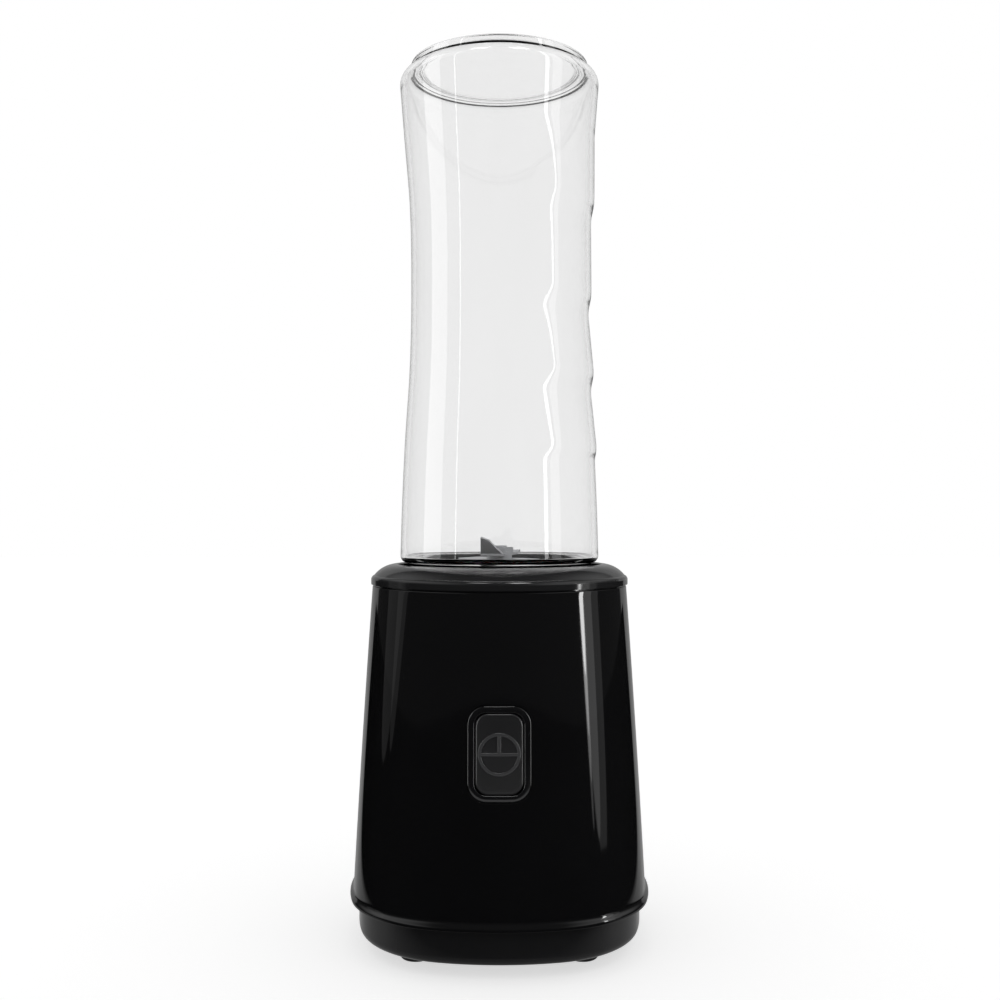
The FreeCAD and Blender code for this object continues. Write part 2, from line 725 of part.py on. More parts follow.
def make_field_coil(side):
    """A coil wound round one pole: two legs through the slots and a head at each end."""
    solids = []
    reach = 4.0
    for x in (-14.3, 14.3):
        solids.append(box((x - 2.6, 10.4, stator_bottom - reach), (x + 2.6, 16.6, stator_top + reach)))
    spans = ((stator_bottom - reach - 3, stator_bottom - 1), (stator_top + 1, stator_top + reach + 3))
    for low, high in spans:
        solids.append(box((-16.9, 15.2, low), (16.9, 20.6, high)))
    return around(joined(solids), 180 if side < 0 else 0)


def bracket_plate(level, half_x, half_y):
    plate = box((-half_x, -half_y, level), (half_x, half_y, level + bracket_thickness))
    return plate.makeFillet(5.0, [e for e in plate.Edges if e.BoundBox.ZLength > bracket_thickness - 0.01])


def make_upper_bracket():
    """The plate that hangs from the dampers, with the upper bearing's cup and legs to the stator."""
    top = upper_plate + bracket_thickness
    cup = cylinder(bearing_radius + 2, upper_plate - 3.5, top)
    places = corners_of(motor_bolt_x, motor_bolt_y)
    legs = [cylinder(4.0, stator_top, upper_plate + 0.5, x, y) for x, y in places]
    plate = joined([bracket_plate(upper_plate, damper_x + 6, stator_depth / 2), cup] + legs)
    plate = plate.cut(cylinder(bearing_radius, upper_plate - 2.5, top + 1))
    plate = plate.cut(cylinder(bearing_radius - 2, upper_plate - 4, top))
    for x, y in corners_of(damper_x, damper_y):
        plate = plate.cut(cylinder(2.0, upper_plate - 1, top + 1, x, y))
    for x, y in bolt_places():
        plate = plate.cut(cylinder(1.85, stator_top - 1, top + 1, x, y))
    return plate


def make_lower_bracket():
    """The plate under the motor, with the lower bearing's cup and legs to the stator."""
    top = lower_plate + bracket_thickness
    cup = cylinder(bearing_radius + 2, lower_plate - 2.5, top)
    places = corners_of(motor_bolt_x, motor_bolt_y)
    legs = [cylinder(4.0, lower_plate, stator_bottom, x, y) for x, y in places]
    plate = joined([bracket_plate(lower_plate, stator_width / 2, stator_depth / 2), cup] + legs)
    plate = plate.cut(cylinder(bearing_radius, lower_plate - 1.5, top + 1))
    plate = plate.cut(cylinder(bearing_radius - 2, lower_plate - 3, top))
    for x, y in bolt_places():
        plate = plate.cut(cylinder(1.85, lower_plate - 1, stator_bottom + 1, x, y))
    return plate


def make_bearing(bottom, top):
    return ring(bearing_radius, shaft_radius + running_fit, bottom, top)


def make_motor_bolts():
    """Two long bolts, each with a head below and a nut above."""
    top = upper_plate + bracket_thickness
    bolts = []
    for x, y in bolt_places():
        head = cylinder(3.4, lower_plate - 2.8, lower_plate, x, y)
        shank = cylinder(1.75, lower_plate - 1, top + 2, x, y)
        bolts.append(joined([head, shank, hexagon(6.6, top, top + 2.4, x, y)]))
    return Part.makeCompound(bolts)


def make_motor_screws():
    """Screws up through the bracket's ears and the dampers into the cover's posts."""
    screws = []
    for x, y in corners_of(damper_x, damper_y):
        head = cylinder(3.6, upper_plate - 2.4, upper_plate, x, y)
        screws.append(joined([head, cylinder(1.9, upper_plate - 1, well_underside - 1, x, y)]))
    return Part.makeCompound(screws)


def make_damper(x, y):
    """A rubber ring between the motor's bracket and the cover."""
    return ring(damper_radius, 2.0, damper_top - damper_height, damper_top, x, y)


def make_armature_core():
    """The slotted stack on the shaft."""
    core = ring(armature_radius, shaft_radius, stator_bottom, stator_top)
    for i in range(12):
        slot = box((11.5, -0.9, stator_bottom - 1), (armature_radius + 1, 0.9, stator_top + 1))
        core = core.cut(around(slot, 30 * i))
    return core


def make_armature_windings():
    """The wire heads at both ends of the stack."""
    heads = []
    for low, high in ((stator_bottom - 5, stator_bottom), (stator_top, stator_top + 5.5)):
        head = ring(13.2, shaft_radius, low, high)
        outer = [e for e in head.Edges if e.BoundBox.XLength > 26]
        heads.append(head.makeFillet(1.8, outer))
    return Part.makeCompound(heads)


def make_commutator():
    """Copper segments with slits between them."""
    top = commutator_bottom + commutator_height
    body = ring(commutator_radius, shaft_radius, commutator_bottom, top)
    for i in range(12):
        low = (commutator_radius - 1.2, -0.25, commutator_bottom - 1)
        slit = box(low, (commutator_radius + 1, 0.25, top + 1))
        body = body.cut(around(slit, 15 + 30 * i))
    return body


def make_cooling_fan():
    """A hub and disc with upright blades leaning off the radius."""
    bottom = fan_top - fan_height
    disc = ring(fan_radius, shaft_radius, bottom, bottom + 1.6)
    parts = [ring(5.5, shaft_radius, bottom, fan_top - 1), disc]
    for i in range(fan_blades):
        blade = box((5.0, -0.7, bottom + 1), (fan_radius - 1.0, 0.7, fan_top))
        blade.rotate(Vector(5.0, 0, 0), Vector(0, 0, 1), 18)
        rim = cylinder(fan_radius, bottom, fan_top)
        parts.append(around(blade.common(rim), 360 / fan_blades * i))
    return joined(parts)


def make_brush_holder(side):
    """An insulating block on the lower bracket with a guide for the carbon brush."""
    foot = lower_plate + bracket_thickness
    block = box((13.0, -5.5, foot), (23.0, 5.5, brush_level - 4.2))
    guide = box((11.0, -4.4, brush_level - 4.2), (24.0, 4.4, brush_level + 4.0))
    holder = joined([block, guide])
    holder = holder.cut(box((10.0, -3.05, brush_level - 2.55), (23.0, 3.05, brush_level + 2.55)))
    return around(holder, 0 if side > 0 else 180)


def make_carbon_brush(side):
    brush = box((commutator_radius + small_gap, -3.0, brush_level - 2.5), (21.5, 3.0, brush_level + 2.5))
    return around(brush, 0 if side > 0 else 180)


def make_button_bezel():
    """The ring round the button: its face is just proud of the housing, its flange is behind the wall."""
    inner_size = grown(button_size, button_gap)
    ring_block = rounded_block(bezel_size, bezel_corner, front_clear, front_deep)
    face = ring_block.common(housing_skin(0.35)).cut(housing_skin(-bezel_depth))
    flange_block = rounded_block(grown(bezel_size, 2.05), bezel_corner + 2.05, front_clear, front_deep)
    flange = flange_block.common(housing_skin(-housing_wall - running_fit)).cut(housing_skin(-bezel_depth))
    opening = rounded_block(inner_size, button_corner + button_gap, front_clear - 1, front_deep + 1)
    return joined([face, flange]).cut(opening)


def make_push_button():
    """The key, its retaining flange, the post that works the switch and two guide pins."""
    key = rounded_block(button_size, button_corner, front_clear, button_flange_back)
    key = key.common(housing_skin(0.6))
    flange_size = grown(button_size, button_flange)
    flange_corner = button_corner + button_flange
    flange = rounded_block(flange_size, flange_corner, button_flange_front, button_flange_back)
    post = rod_y(2.5, button_flange_back - 1, switch_plate_front - small_gap, 0, button_height)
    guides = []
    for side in (-1, 1):
        z = button_height + side * guide_offset
        guides.append(rod_y(1.5, button_flange_back - 1, switch_plate_back + 1.6, 0, z))
    return joined([key, flange, post] + guides)


def make_switch_holder():
    """The plate that carries the pulse switch behind the button."""
    half_x = switch_post[0] + 3.5
    half_z = switch_post[1] + 4.0
    low = (-half_x, switch_plate_front, button_height - half_z)
    plate = box(low, (half_x, switch_plate_back, button_height + half_z))
    plate = plate.cut(rod_y(3.2, switch_plate_front - 1, switch_plate_back + 1, 0, button_height))
    for side in (-1, 1):
        z = button_height + side * guide_offset
        plate = plate.cut(rod_y(1.5 + running_fit, switch_plate_front - 1, switch_plate_back + 1, 0, z))
    for x, z in corners_of(*switch_post):
        plate = plate.cut(rod_y(1.1, switch_plate_front - 1, switch_plate_back + 1, x, button_height + z))
    return plate


def make_pulse_switch():
    """A small snap switch with a bore for its plunger."""
    low = (-3.2, switch_plate_back, button_height - switch_half_height)
    body = box(low, (3.2, switch_plate_back + switch_depth, button_height + switch_half_height))
    bore_back = switch_plate_back + 5.6
    bore = rod_y(plunger_radius + running_fit, switch_plate_back - 1, bore_back, 0, button_height)
    return body.cut(bore)


def make_switch_plunger():
    return rod_y(plunger_radius, switch_plate_front, switch_plate_back + 3.1, 0, button_height)


def coil_spring(radius, wire, length, turns):
    """An upright coil spring that starts at the origin."""
    rise = length - wire
    helix = Part.makeHelix(rise / turns, rise, radius)
    section = Part.Wire(Part.makeCircle(wire / 2, Vector(radius, 0, 0), Vector(0, 1, 0)))
    spring = Part.Wire(helix.Edges).makePipeShell([section], True, True)
    spring.translate(Vector(0, 0, wire / 2))
    return spring


def make_button_spring():
    """The spring round the button's post."""
    length = switch_plate_front - button_flange_back - 2 * small_gap
    spring = coil_spring(4.2, 0.6, length, 3)
    spring.rotate(Vector(0, 0, 0), Vector(1, 0, 0), -90)
    spring.translate(Vector(0, button_flange_back + small_gap, button_height))
    return spring


def make_interlock_pin():
    """The pin that the blade holder's foot keeps pressed, with a collar for its spring."""
    top = holder_bottom - small_gap
    stem = cylinder(interlock_radius, top - interlock_reach, top, 0, interlock_y)
    return joined([stem, cylinder(2.9, well_underside - 7.8, well_underside - 6.6, 0, interlock_y)])


def make_interlock_switch():
    """A snap switch between the cover's two ribs, with a bore for the pin."""
    high = (3.5, interlock_y + interlock_half_depth, switch_roof)
    body = box((-3.5, interlock_y - 6.5, switch_roof - 8), high)
    bore = cylinder(interlock_radius + running_fit, switch_roof - 2.6, switch_roof + 1, 0, interlock_y)
    return body.cut(bore)


def make_interlock_spring():
    spring = coil_spring(2.3, 0.5, well_underside - 7.8 - switch_roof - 2 * small_gap, 4)
    spring.translate(Vector(0, interlock_y, switch_roof + small_gap))
    return spring


def make_control_board():
    half_x = board_size[0] / 2
    half_z = board_size[1] / 2
    low = (-half_x, board_front, board_height - half_z)
    board = box(low, (half_x, board_back, board_height + half_z))
    for x, z in corners_of(half_x - 5, half_z - 5):
        board = board.cut(rod_y(1.1, board_front - 1, board_back + 1, x, board_height + z))
    return board


def make_board_components():
    """Capacitor, rectifier, relay and terminal block on the board's inner face."""
    capacitor = rod_y(5.0, board_front - 11, board_front, -12, board_height + 4)
    relay = box((-2, board_front - 10, board_height - 14), (14, board_front, board_height - 4))
    rectifier = box((2, board_front - 4, board_height + 1), (14, board_front, board_height + 11))
    terminals = box((-16, board_front - 8, board_height - 16), (-5, board_front, board_height - 6))
    return Part.makeCompound([capacitor, relay, rectifier, terminals])


def make_cord_gland():
    """A bush in the rear wall, with a flange on each side and a hole for the cord."""
    wall = housing_half(gland_height)
    inner_face = wall - housing_wall - 2.4
    outer_face = wall + 1.8
    outside = rod_y(gland_flange, wall - 2, outer_face, 0, gland_height).cut(housing_skin(running_fit))
    inside = rod_y(gland_flange, inner_face, wall, 0, gland_height)
    inside = inside.common(housing_skin(-housing_wall - running_fit))
    gland = joined([rod_y(gland_radius, inner_face, outer_face, 0, gland_height), outside, inside])
    return gland.cut(rod_y(cord_radius, inner_face - 1, outer_face + 1, 0, gland_height))


def upright_screws(places, head_radius, head_low, head_high, shank_radius, top):
    screws = []
    for x, y in places:
        head = cylinder(head_radius, head_low, head_high, x, y)
        screws.append(joined([head, cylinder(shank_radius, head_low + 1, top, x, y)]))
    return Part.makeCompound(screws)


def make_bottom_cover_screws():
    return upright_screws(screw_hole_places(), 3.2, seam - 0.7, seam + 1.7, 1.5, seam + 16)


def make_top_cover_screws():
    diagonal = cover_post_ring / math.sqrt(2)
    low = well_underside + 0.2
    return upright_screws(corners_of(diagonal, diagonal), 3.1, low, low + 2.4, 1.5, rim_seam - 5)


def level_screws(places, head_front, head_back, tip):
    """Screws along Y; the head lies between head_front and head_back, and the shank ends at tip."""
    screws = []
    middle = (head_front + head_back) / 2
    for x, z in places:
        head = rod_y(2.4, head_front, head_back, x, z)
        shank = rod_y(1.0, min(middle, tip), max(middle, tip), x, z)
        screws.append(joined([head, shank]))
    return Part.makeCompound(screws)


def make_switch_screws():
    places = [(x, button_height + z) for x, z in corners_of(*switch_post)]
    return level_screws(places, switch_plate_back, switch_plate_back + 1.6, switch_plate_front - 4)


def make_board_screws():
    half_x = board_size[0] / 2 - 5
    half_z = board_size[1] / 2 - 5
    places = [(x, board_height + z) for x, z in corners_of(half_x, half_z)]
    return level_screws(places, board_front - 1.6, board_front, board_back + 4)


def all_parts():
    """Every sub-part by name."""
    parts = {
        "housing": make_housing(),
        "top_cover": make_top_cover(),
        "bottom_cover": make_bottom_cover(),
        "button_bezel": make_button_bezel(),
        "push_button": make_push_button(),
        "button_spring": make_button_spring(),
        "switch_holder": make_switch_holder(),
        "switch_screws": make_switch_screws(),
        "pulse_switch": make_pulse_switch(),
        "switch_plunger": make_switch_plunger(),
        "interlock_pin": make_interlock_pin(),
        "interlock_spring": make_interlock_spring(),
        "interlock_switch": make_interlock_switch(),
        "control_board": make_control_board(),
        "board_components": make_board_components(),
        "board_screws": make_board_screws(),
        "cord_gland": make_cord_gland(),
        "bottom_cover_screws": make_bottom_cover_screws(),
        "top_cover_screws": make_top_cover_screws(),
        "stator_core": make_stator_core(),
        "field_coil_front": make_field_coil(-1),
        "field_coil_back": make_field_coil(1),
        "upper_motor_bracket": make_upper_bracket(),
        "lower_motor_bracket": make_lower_bracket(),
        "upper_bearing": make_bearing(upper_plate - 2.5, upper_plate + 2.0),
        "lower_bearing": make_bearing(lower_plate - 1.5, lower_plate + 2.0),
        "motor_bolts": make_motor_bolts(),
        "motor_screws": make_motor_screws(),
        "brush_holder_left": make_brush_holder(-1),
        "brush_holder_right": make_brush_holder(1),
        "carbon_brush_left": make_carbon_brush(-1),
        "carbon_brush_right": make_carbon_brush(1),
        "motor_shaft": make_motor_shaft(),
        "armature_core": make_armature_core(),
        "armature_windings": make_armature_windings(),
        "commutator": make_commutator(),
        "cooling_fan": make_cooling_fan(),
        "drive_coupler": make_drive_coupler(),
        "blade_holder": make_blade_holder(),
        "blade_bushing": make_blade_bushing(),
        "cup_seal": make_cup_seal(),
        "bottle": make_bottle(),
        "blade_shaft": make_blade_shaft(),
        "driven_coupler": make_driven_coupler(),
        "upper_blade": make_upper_blade(),
        "lower_blade": make_lower_blade(),
        "blade_washers": make_blade_washers(),
        "blade_nut": make_blade_nut(),
    }
    for row, sign_y in (("front", -1), ("back", 1)):
        for side, sign_x in (("left", -1), ("right", 1)):
            foot_place = (sign_x * foot_offset, sign_y * foot_offset)
            parts["foot_" + row + "_" + side] = make_foot(*foot_place)
            damper_place = (sign_x * damper_x, sign_y * damper_y)
            parts["motor_damper_" + row + "_" + side] = make_damper(*damper_place)
    return parts


os.makedirs("parts", exist_ok=True)
for name, shape in all_parts().items():
    print(name, len(shape.Solids), shape.isValid(), round(shape.Volume, 1))
    shape.exportStep("parts/" + name + ".step")
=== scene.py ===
"""Countertop blender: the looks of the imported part, in metres, in the part's own frame."""
import math

import bmesh
import bpy
import numpy as np
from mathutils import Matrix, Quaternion, Vector


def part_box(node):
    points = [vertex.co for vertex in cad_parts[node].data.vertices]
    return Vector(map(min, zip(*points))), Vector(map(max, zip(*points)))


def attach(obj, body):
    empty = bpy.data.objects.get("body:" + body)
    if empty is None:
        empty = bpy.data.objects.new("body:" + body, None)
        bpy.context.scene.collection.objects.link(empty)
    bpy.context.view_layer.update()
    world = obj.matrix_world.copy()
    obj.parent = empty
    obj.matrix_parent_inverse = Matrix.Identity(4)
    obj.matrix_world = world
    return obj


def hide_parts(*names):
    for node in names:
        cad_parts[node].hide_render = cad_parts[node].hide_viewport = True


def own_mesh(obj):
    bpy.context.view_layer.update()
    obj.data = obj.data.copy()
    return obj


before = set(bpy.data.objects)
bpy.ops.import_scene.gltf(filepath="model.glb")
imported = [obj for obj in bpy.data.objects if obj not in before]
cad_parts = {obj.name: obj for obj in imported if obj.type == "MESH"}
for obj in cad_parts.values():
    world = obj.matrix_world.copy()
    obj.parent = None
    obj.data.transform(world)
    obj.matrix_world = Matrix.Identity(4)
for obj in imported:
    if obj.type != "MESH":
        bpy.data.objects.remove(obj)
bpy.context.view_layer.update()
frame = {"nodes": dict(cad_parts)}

MM = 0.001
QUARTER = math.pi / 2


def low_high(node):
    """A node's lowest and highest corner in mm."""
    low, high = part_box(node)
    return np.array(low) / MM, np.array(high) / MM


# ---------------------------------------------------------------- meshes

def grid_faces(rows, columns, first=0, wrap_rows=False, wrap_columns=False):
    """Quads over a grid of points in row order. A wrapped direction closes on its first line."""
    index = first + np.arange(rows * columns).reshape(rows, columns)
    if wrap_rows:
        index = np.vstack([index, index[:1]])
    if wrap_columns:
        index = np.hstack([index, index[:, :1]])
    quads = [index[:-1, :-1], index[:-1, 1:], index[1:, 1:], index[1:, :-1]]
    return np.stack(quads, -1).reshape(-1, 4)


def piece(name, patches, body, slot, nodes=(), sharp=35, finish=None):
    """One closed mesh from patches of (points in mm, faces), welded where their points meet.

    Faces are turned outwards after the weld. Edges that bend by more than sharp degrees stay crisp.
    Its material is the slot's own, or the one named by finish.
    """
    points = np.concatenate([p.reshape(-1, 3) for p, _ in patches]) * MM
    starts = np.cumsum([0] + [p.reshape(-1, 3).shape[0] for p, _ in patches[:-1]])
    faces = np.concatenate([f + start for (_, f), start in zip(patches, starts)])
    mesh = bpy.data.meshes.new(name)
    mesh.from_pydata(points.tolist(), [], faces.tolist())
    work = bmesh.new()
    work.from_mesh(mesh)
    bmesh.ops.remove_doubles(work, verts=work.verts, dist=2e-6)
    bmesh.ops.dissolve_degenerate(work, edges=work.edges, dist=1e-7)
    bmesh.ops.recalc_face_normals(work, faces=work.faces)
    work.to_mesh(mesh)
    work.free()
    mesh.polygons.foreach_set("use_smooth", np.ones(len(mesh.polygons), bool))
    mesh.set_sharp_from_angle(angle=math.radians(sharp))
    mesh.materials.append(finishes[finish or slot])
    made = bpy.data.objects.new(name, mesh)
    bpy.context.scene.collection.objects.link(made)
    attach(made, body)
    if nodes:
        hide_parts(*nodes)
    return made


def smooth_step(t):
    """0 below 0, 1 above 1, and 3t^2 - 2t^3 between."""
    t = np.clip(t, 0, 1)
    return t * t * (3 - 2 * t)


def through(t, places, values):
    """A cubic curve through the values, with each one's slope taken from its neighbours."""
    places = np.asarray(places, float)
    values = np.asarray(values, float)
    slopes = np.gradient(values, places)
    i = np.clip(np.searchsorted(places, t) - 1, 0, len(places) - 2)
    step = places[i + 1] - places[i]
    u = (t - places[i]) / step
    start = values[i] * (1 + 2 * u) * (1 - u) ** 2 + step * slopes[i] * u * (1 - u) ** 2
    end = values[i + 1] * u ** 2 * (3 - 2 * u) + step * slopes[i + 1] * u ** 2 * (u - 1)
    return start + end


def lathe(profile, turns):
    """Points of a profile of (radius, height) pairs, turned to each angle about the drive axis."""
    radius = profile[:, :1]
    height = np.broadcast_to(profile[:, 1:], (len(profile), len(turns)))
    return np.stack([radius * np.cos(turns), radius * np.sin(turns), height], -1)


def rod_along_y(radius, front, back, x, z, edge=0.2, sides=40):
    """A closed round rod along Y with rounded ends, as a grid of rings and its faces."""
    bend = np.linspace(0, QUARTER, 5)
    start = np.stack([radius - edge + edge * np.sin(bend), front + edge - edge * np.cos(bend)], -1)
    end = np.stack([radius - edge + edge * np.cos(bend), back - edge + edge * np.sin(bend)], -1)
    profile = np.concatenate([[[0, front]], start, end, [[0, back]]])
    turns = np.linspace(0, 2 * math.pi, sides, endpoint=False)
    rings = lathe(profile, turns)
    points = np.stack([x + rings[..., 0], rings[..., 2], z + rings[..., 1]], -1)
    return points, grid_faces(len(profile), sides, wrap_columns=True)


# ---------------------------------------------------------------- finishes

def linear(code):
    """An sRGB hex colour as linear RGBA: v / 12.92 in the toe and ((v + 0.055) / 1.055) ^ 2.4 above."""
    v = np.array([int(code[i:i + 2], 16) for i in (1, 3, 5)]) / 255
    v = np.where(v <= 0.04045, v / 12.92, ((v + 0.055) / 1.055) ** 2.4)
    return (*v.tolist(), 1.0)


def add(tree, kind, inputs=None, **settings):
    """Adds one node with its settings; each input is a plain value or a socket to link from."""
    made = tree.nodes.new(kind)
    for name, value in settings.items():
        setattr(made, name, value)
    for name, value in (inputs or {}).items():
        if isinstance(value, bpy.types.NodeSocket):
            tree.links.new(value, made.inputs[name])
        else:
            made.inputs[name].default_value = value
    return made


def new_finish(name):
    """An empty material: returns it, its node tree, its Principled shader and the part's coordinates."""
    made = bpy.data.materials.new(name)
    made.use_nodes = True
    tree = made.node_tree
    tree.nodes.clear()
    shader = add(tree, "ShaderNodeBsdfPrincipled")
    add(tree, "ShaderNodeOutputMaterial", {"Surface": shader.outputs[0]})
    place = add(tree, "ShaderNodeTexCoord").outputs["Object"]
    return made, tree, shader, place


def dress(tree, shader, share, dark, light, height, depth, **sockets):
    """Colours a shader from dark to light by share, and raises its surface by depth mm where height is 1.

    Its other sockets are given by name, with _ for a space.
    """
    tone = add(tree, "ShaderNodeMix", {0: share, 6: linear(dark), 7: linear(light)}, data_type="RGBA")
    bump = add(tree, "ShaderNodeBump", {"Height": height, "Strength": 1.0, "Distance": depth * MM})
    tree.links.new(tone.outputs[2], shader.inputs["Base Color"])
    tree.links.new(bump.outputs["Normal"], shader.inputs["Normal"])
    for socket, value in sockets.items():
        shader.inputs[socket.replace("_", " ")].default_value = value


def moulded(name, dark, light, gloss, grain, depth, **sockets):
    """A moulded plastic or rubber.

    The melt cools unevenly, so tone goes from dark to light and roughness over the range in gloss
    in clouds of 24 mm. The mould's own surface is a grain of grain mm, raised by depth mm.
    """
    cloud = 24.0
    made, tree, shader, place = new_finish(name)
    slow = add(tree, "ShaderNodeTexNoise", {"Vector": place, "Scale": 1 / (cloud * MM), "Detail": 3.0})
    fine = add(tree, "ShaderNodeTexNoise", {"Vector": place, "Scale": 1 / (grain * MM), "Detail": 2.0})
    rough = add(tree, "ShaderNodeMapRange", {
        "Value": slow.outputs["Fac"], "From Min": 0.3, "From Max": 0.7,
        "To Min": gloss[0], "To Max": gloss[1]})
    tree.links.new(rough.outputs["Result"], shader.inputs["Roughness"])
    dress(tree, shader, slow.outputs["Fac"], dark, light, fine.outputs["Fac"], depth, **sockets)
    return made


def worked_metal(name, dark, light, gloss, stretch, scratch, depth, **sockets):
    """A metal with the marks of its working: noise of scratch mm, raised by depth mm.

    The noise's X, Y and Z are multiplied by stretch, so less than 1 draws the marks out. Tone and
    roughness follow the marks.
    """
    made, tree, shader, place = new_finish(name)
    long = add(tree, "ShaderNodeMapping", {"Vector": place, "Scale": stretch})
    marks = add(tree, "ShaderNodeTexNoise", {
        "Vector": long.outputs["Vector"], "Scale": 1 / (scratch * MM), "Detail": 4.0})
    rough = add(tree, "ShaderNodeMapRange", {
        "Value": marks.outputs["Fac"], "From Min": 0.3, "From Max": 0.7,
        "To Min": gloss[0], "To Max": gloss[1]})
    tree.links.new(rough.outputs["Result"], shader.inputs["Roughness"])
    dress(tree, shader, marks.outputs["Fac"], dark, light, marks.outputs["Fac"], depth, Metallic=1.0,
          **sockets)
    return made


def banded(name, dark, light, gloss, direction, spacing, depth, metallic):
    """Fine parallel layers or turns: sine bands spacing mm apart along one axis, depth mm deep.

    The ridges are light and smooth, and the grooves are dark and rough: painted shade in the grooves, where
    turns or sheets meet, and a painted highlight on the ridges.
    """
    made, tree, shader, place = new_finish(name)
    # A wave texture repeats every 2 pi / 20 of its own length at scale 1.
    bands = add(tree, "ShaderNodeTexWave", {
        "Vector": place, "Scale": math.pi / 10 / (spacing * MM), "Distortion": 0.6, "Detail": 1.0},
        bands_direction=direction, wave_profile="SIN")
    rough = add(tree, "ShaderNodeMapRange", {
        "Value": bands.outputs["Fac"], "To Min": gloss[1], "To Max": gloss[0]})
    tree.links.new(rough.outputs["Result"], shader.inputs["Roughness"])
    # The tone follows the bands: painted shade in the grooves and a painted highlight on the ridges.
    dress(tree, shader, bands.outputs["Fac"], dark, light, bands.outputs["Fac"], depth, Metallic=metallic)
    return made


def clear_copolyester():
    """Injection-moulded clear copolyester: polished, with a faint slow ripple where the melt flowed up.

    The ripple is 14 mm across and drawn out four times along the bottle.
    """
    made, tree, shader, place = new_finish("clear_moulded_copolyester")
    long = add(tree, "ShaderNodeMapping", {"Vector": place, "Scale": (1.0, 1.0, 0.25)})
    ripple = add(tree, "ShaderNodeTexNoise", {
        "Vector": long.outputs["Vector"], "Scale": 1 / (14 * MM), "Detail": 1.0})
    dress(tree, shader, ripple.outputs["Fac"], "#f6f6f6", "#f9f9f9", ripple.outputs["Fac"], 0.0015,
          Roughness=0.01, IOR=1.54, Transmission_Weight=1.0)
    return made


def printed_board():
    """Glass-epoxy board under green solder mask: copper runs about 5 mm apart show as paler lines."""
    made, tree, shader, place = new_finish("solder_masked_board")
    runs = add(tree, "ShaderNodeTexVoronoi", {"Vector": place, "Scale": 1 / (5.0 * MM)},
               distance="CHEBYCHEV", feature="DISTANCE_TO_EDGE")
    line = add(tree, "ShaderNodeMapRange", {
        "Value": runs.outputs["Distance"], "From Min": 0.08, "From Max": 0.14, "To Min": 1.0, "To Max": 0.0})
    dress(tree, shader, line.outputs["Result"], "#0d3f26", "#23683f", line.outputs["Result"], 0.03,
          Roughness=0.28)
    return made


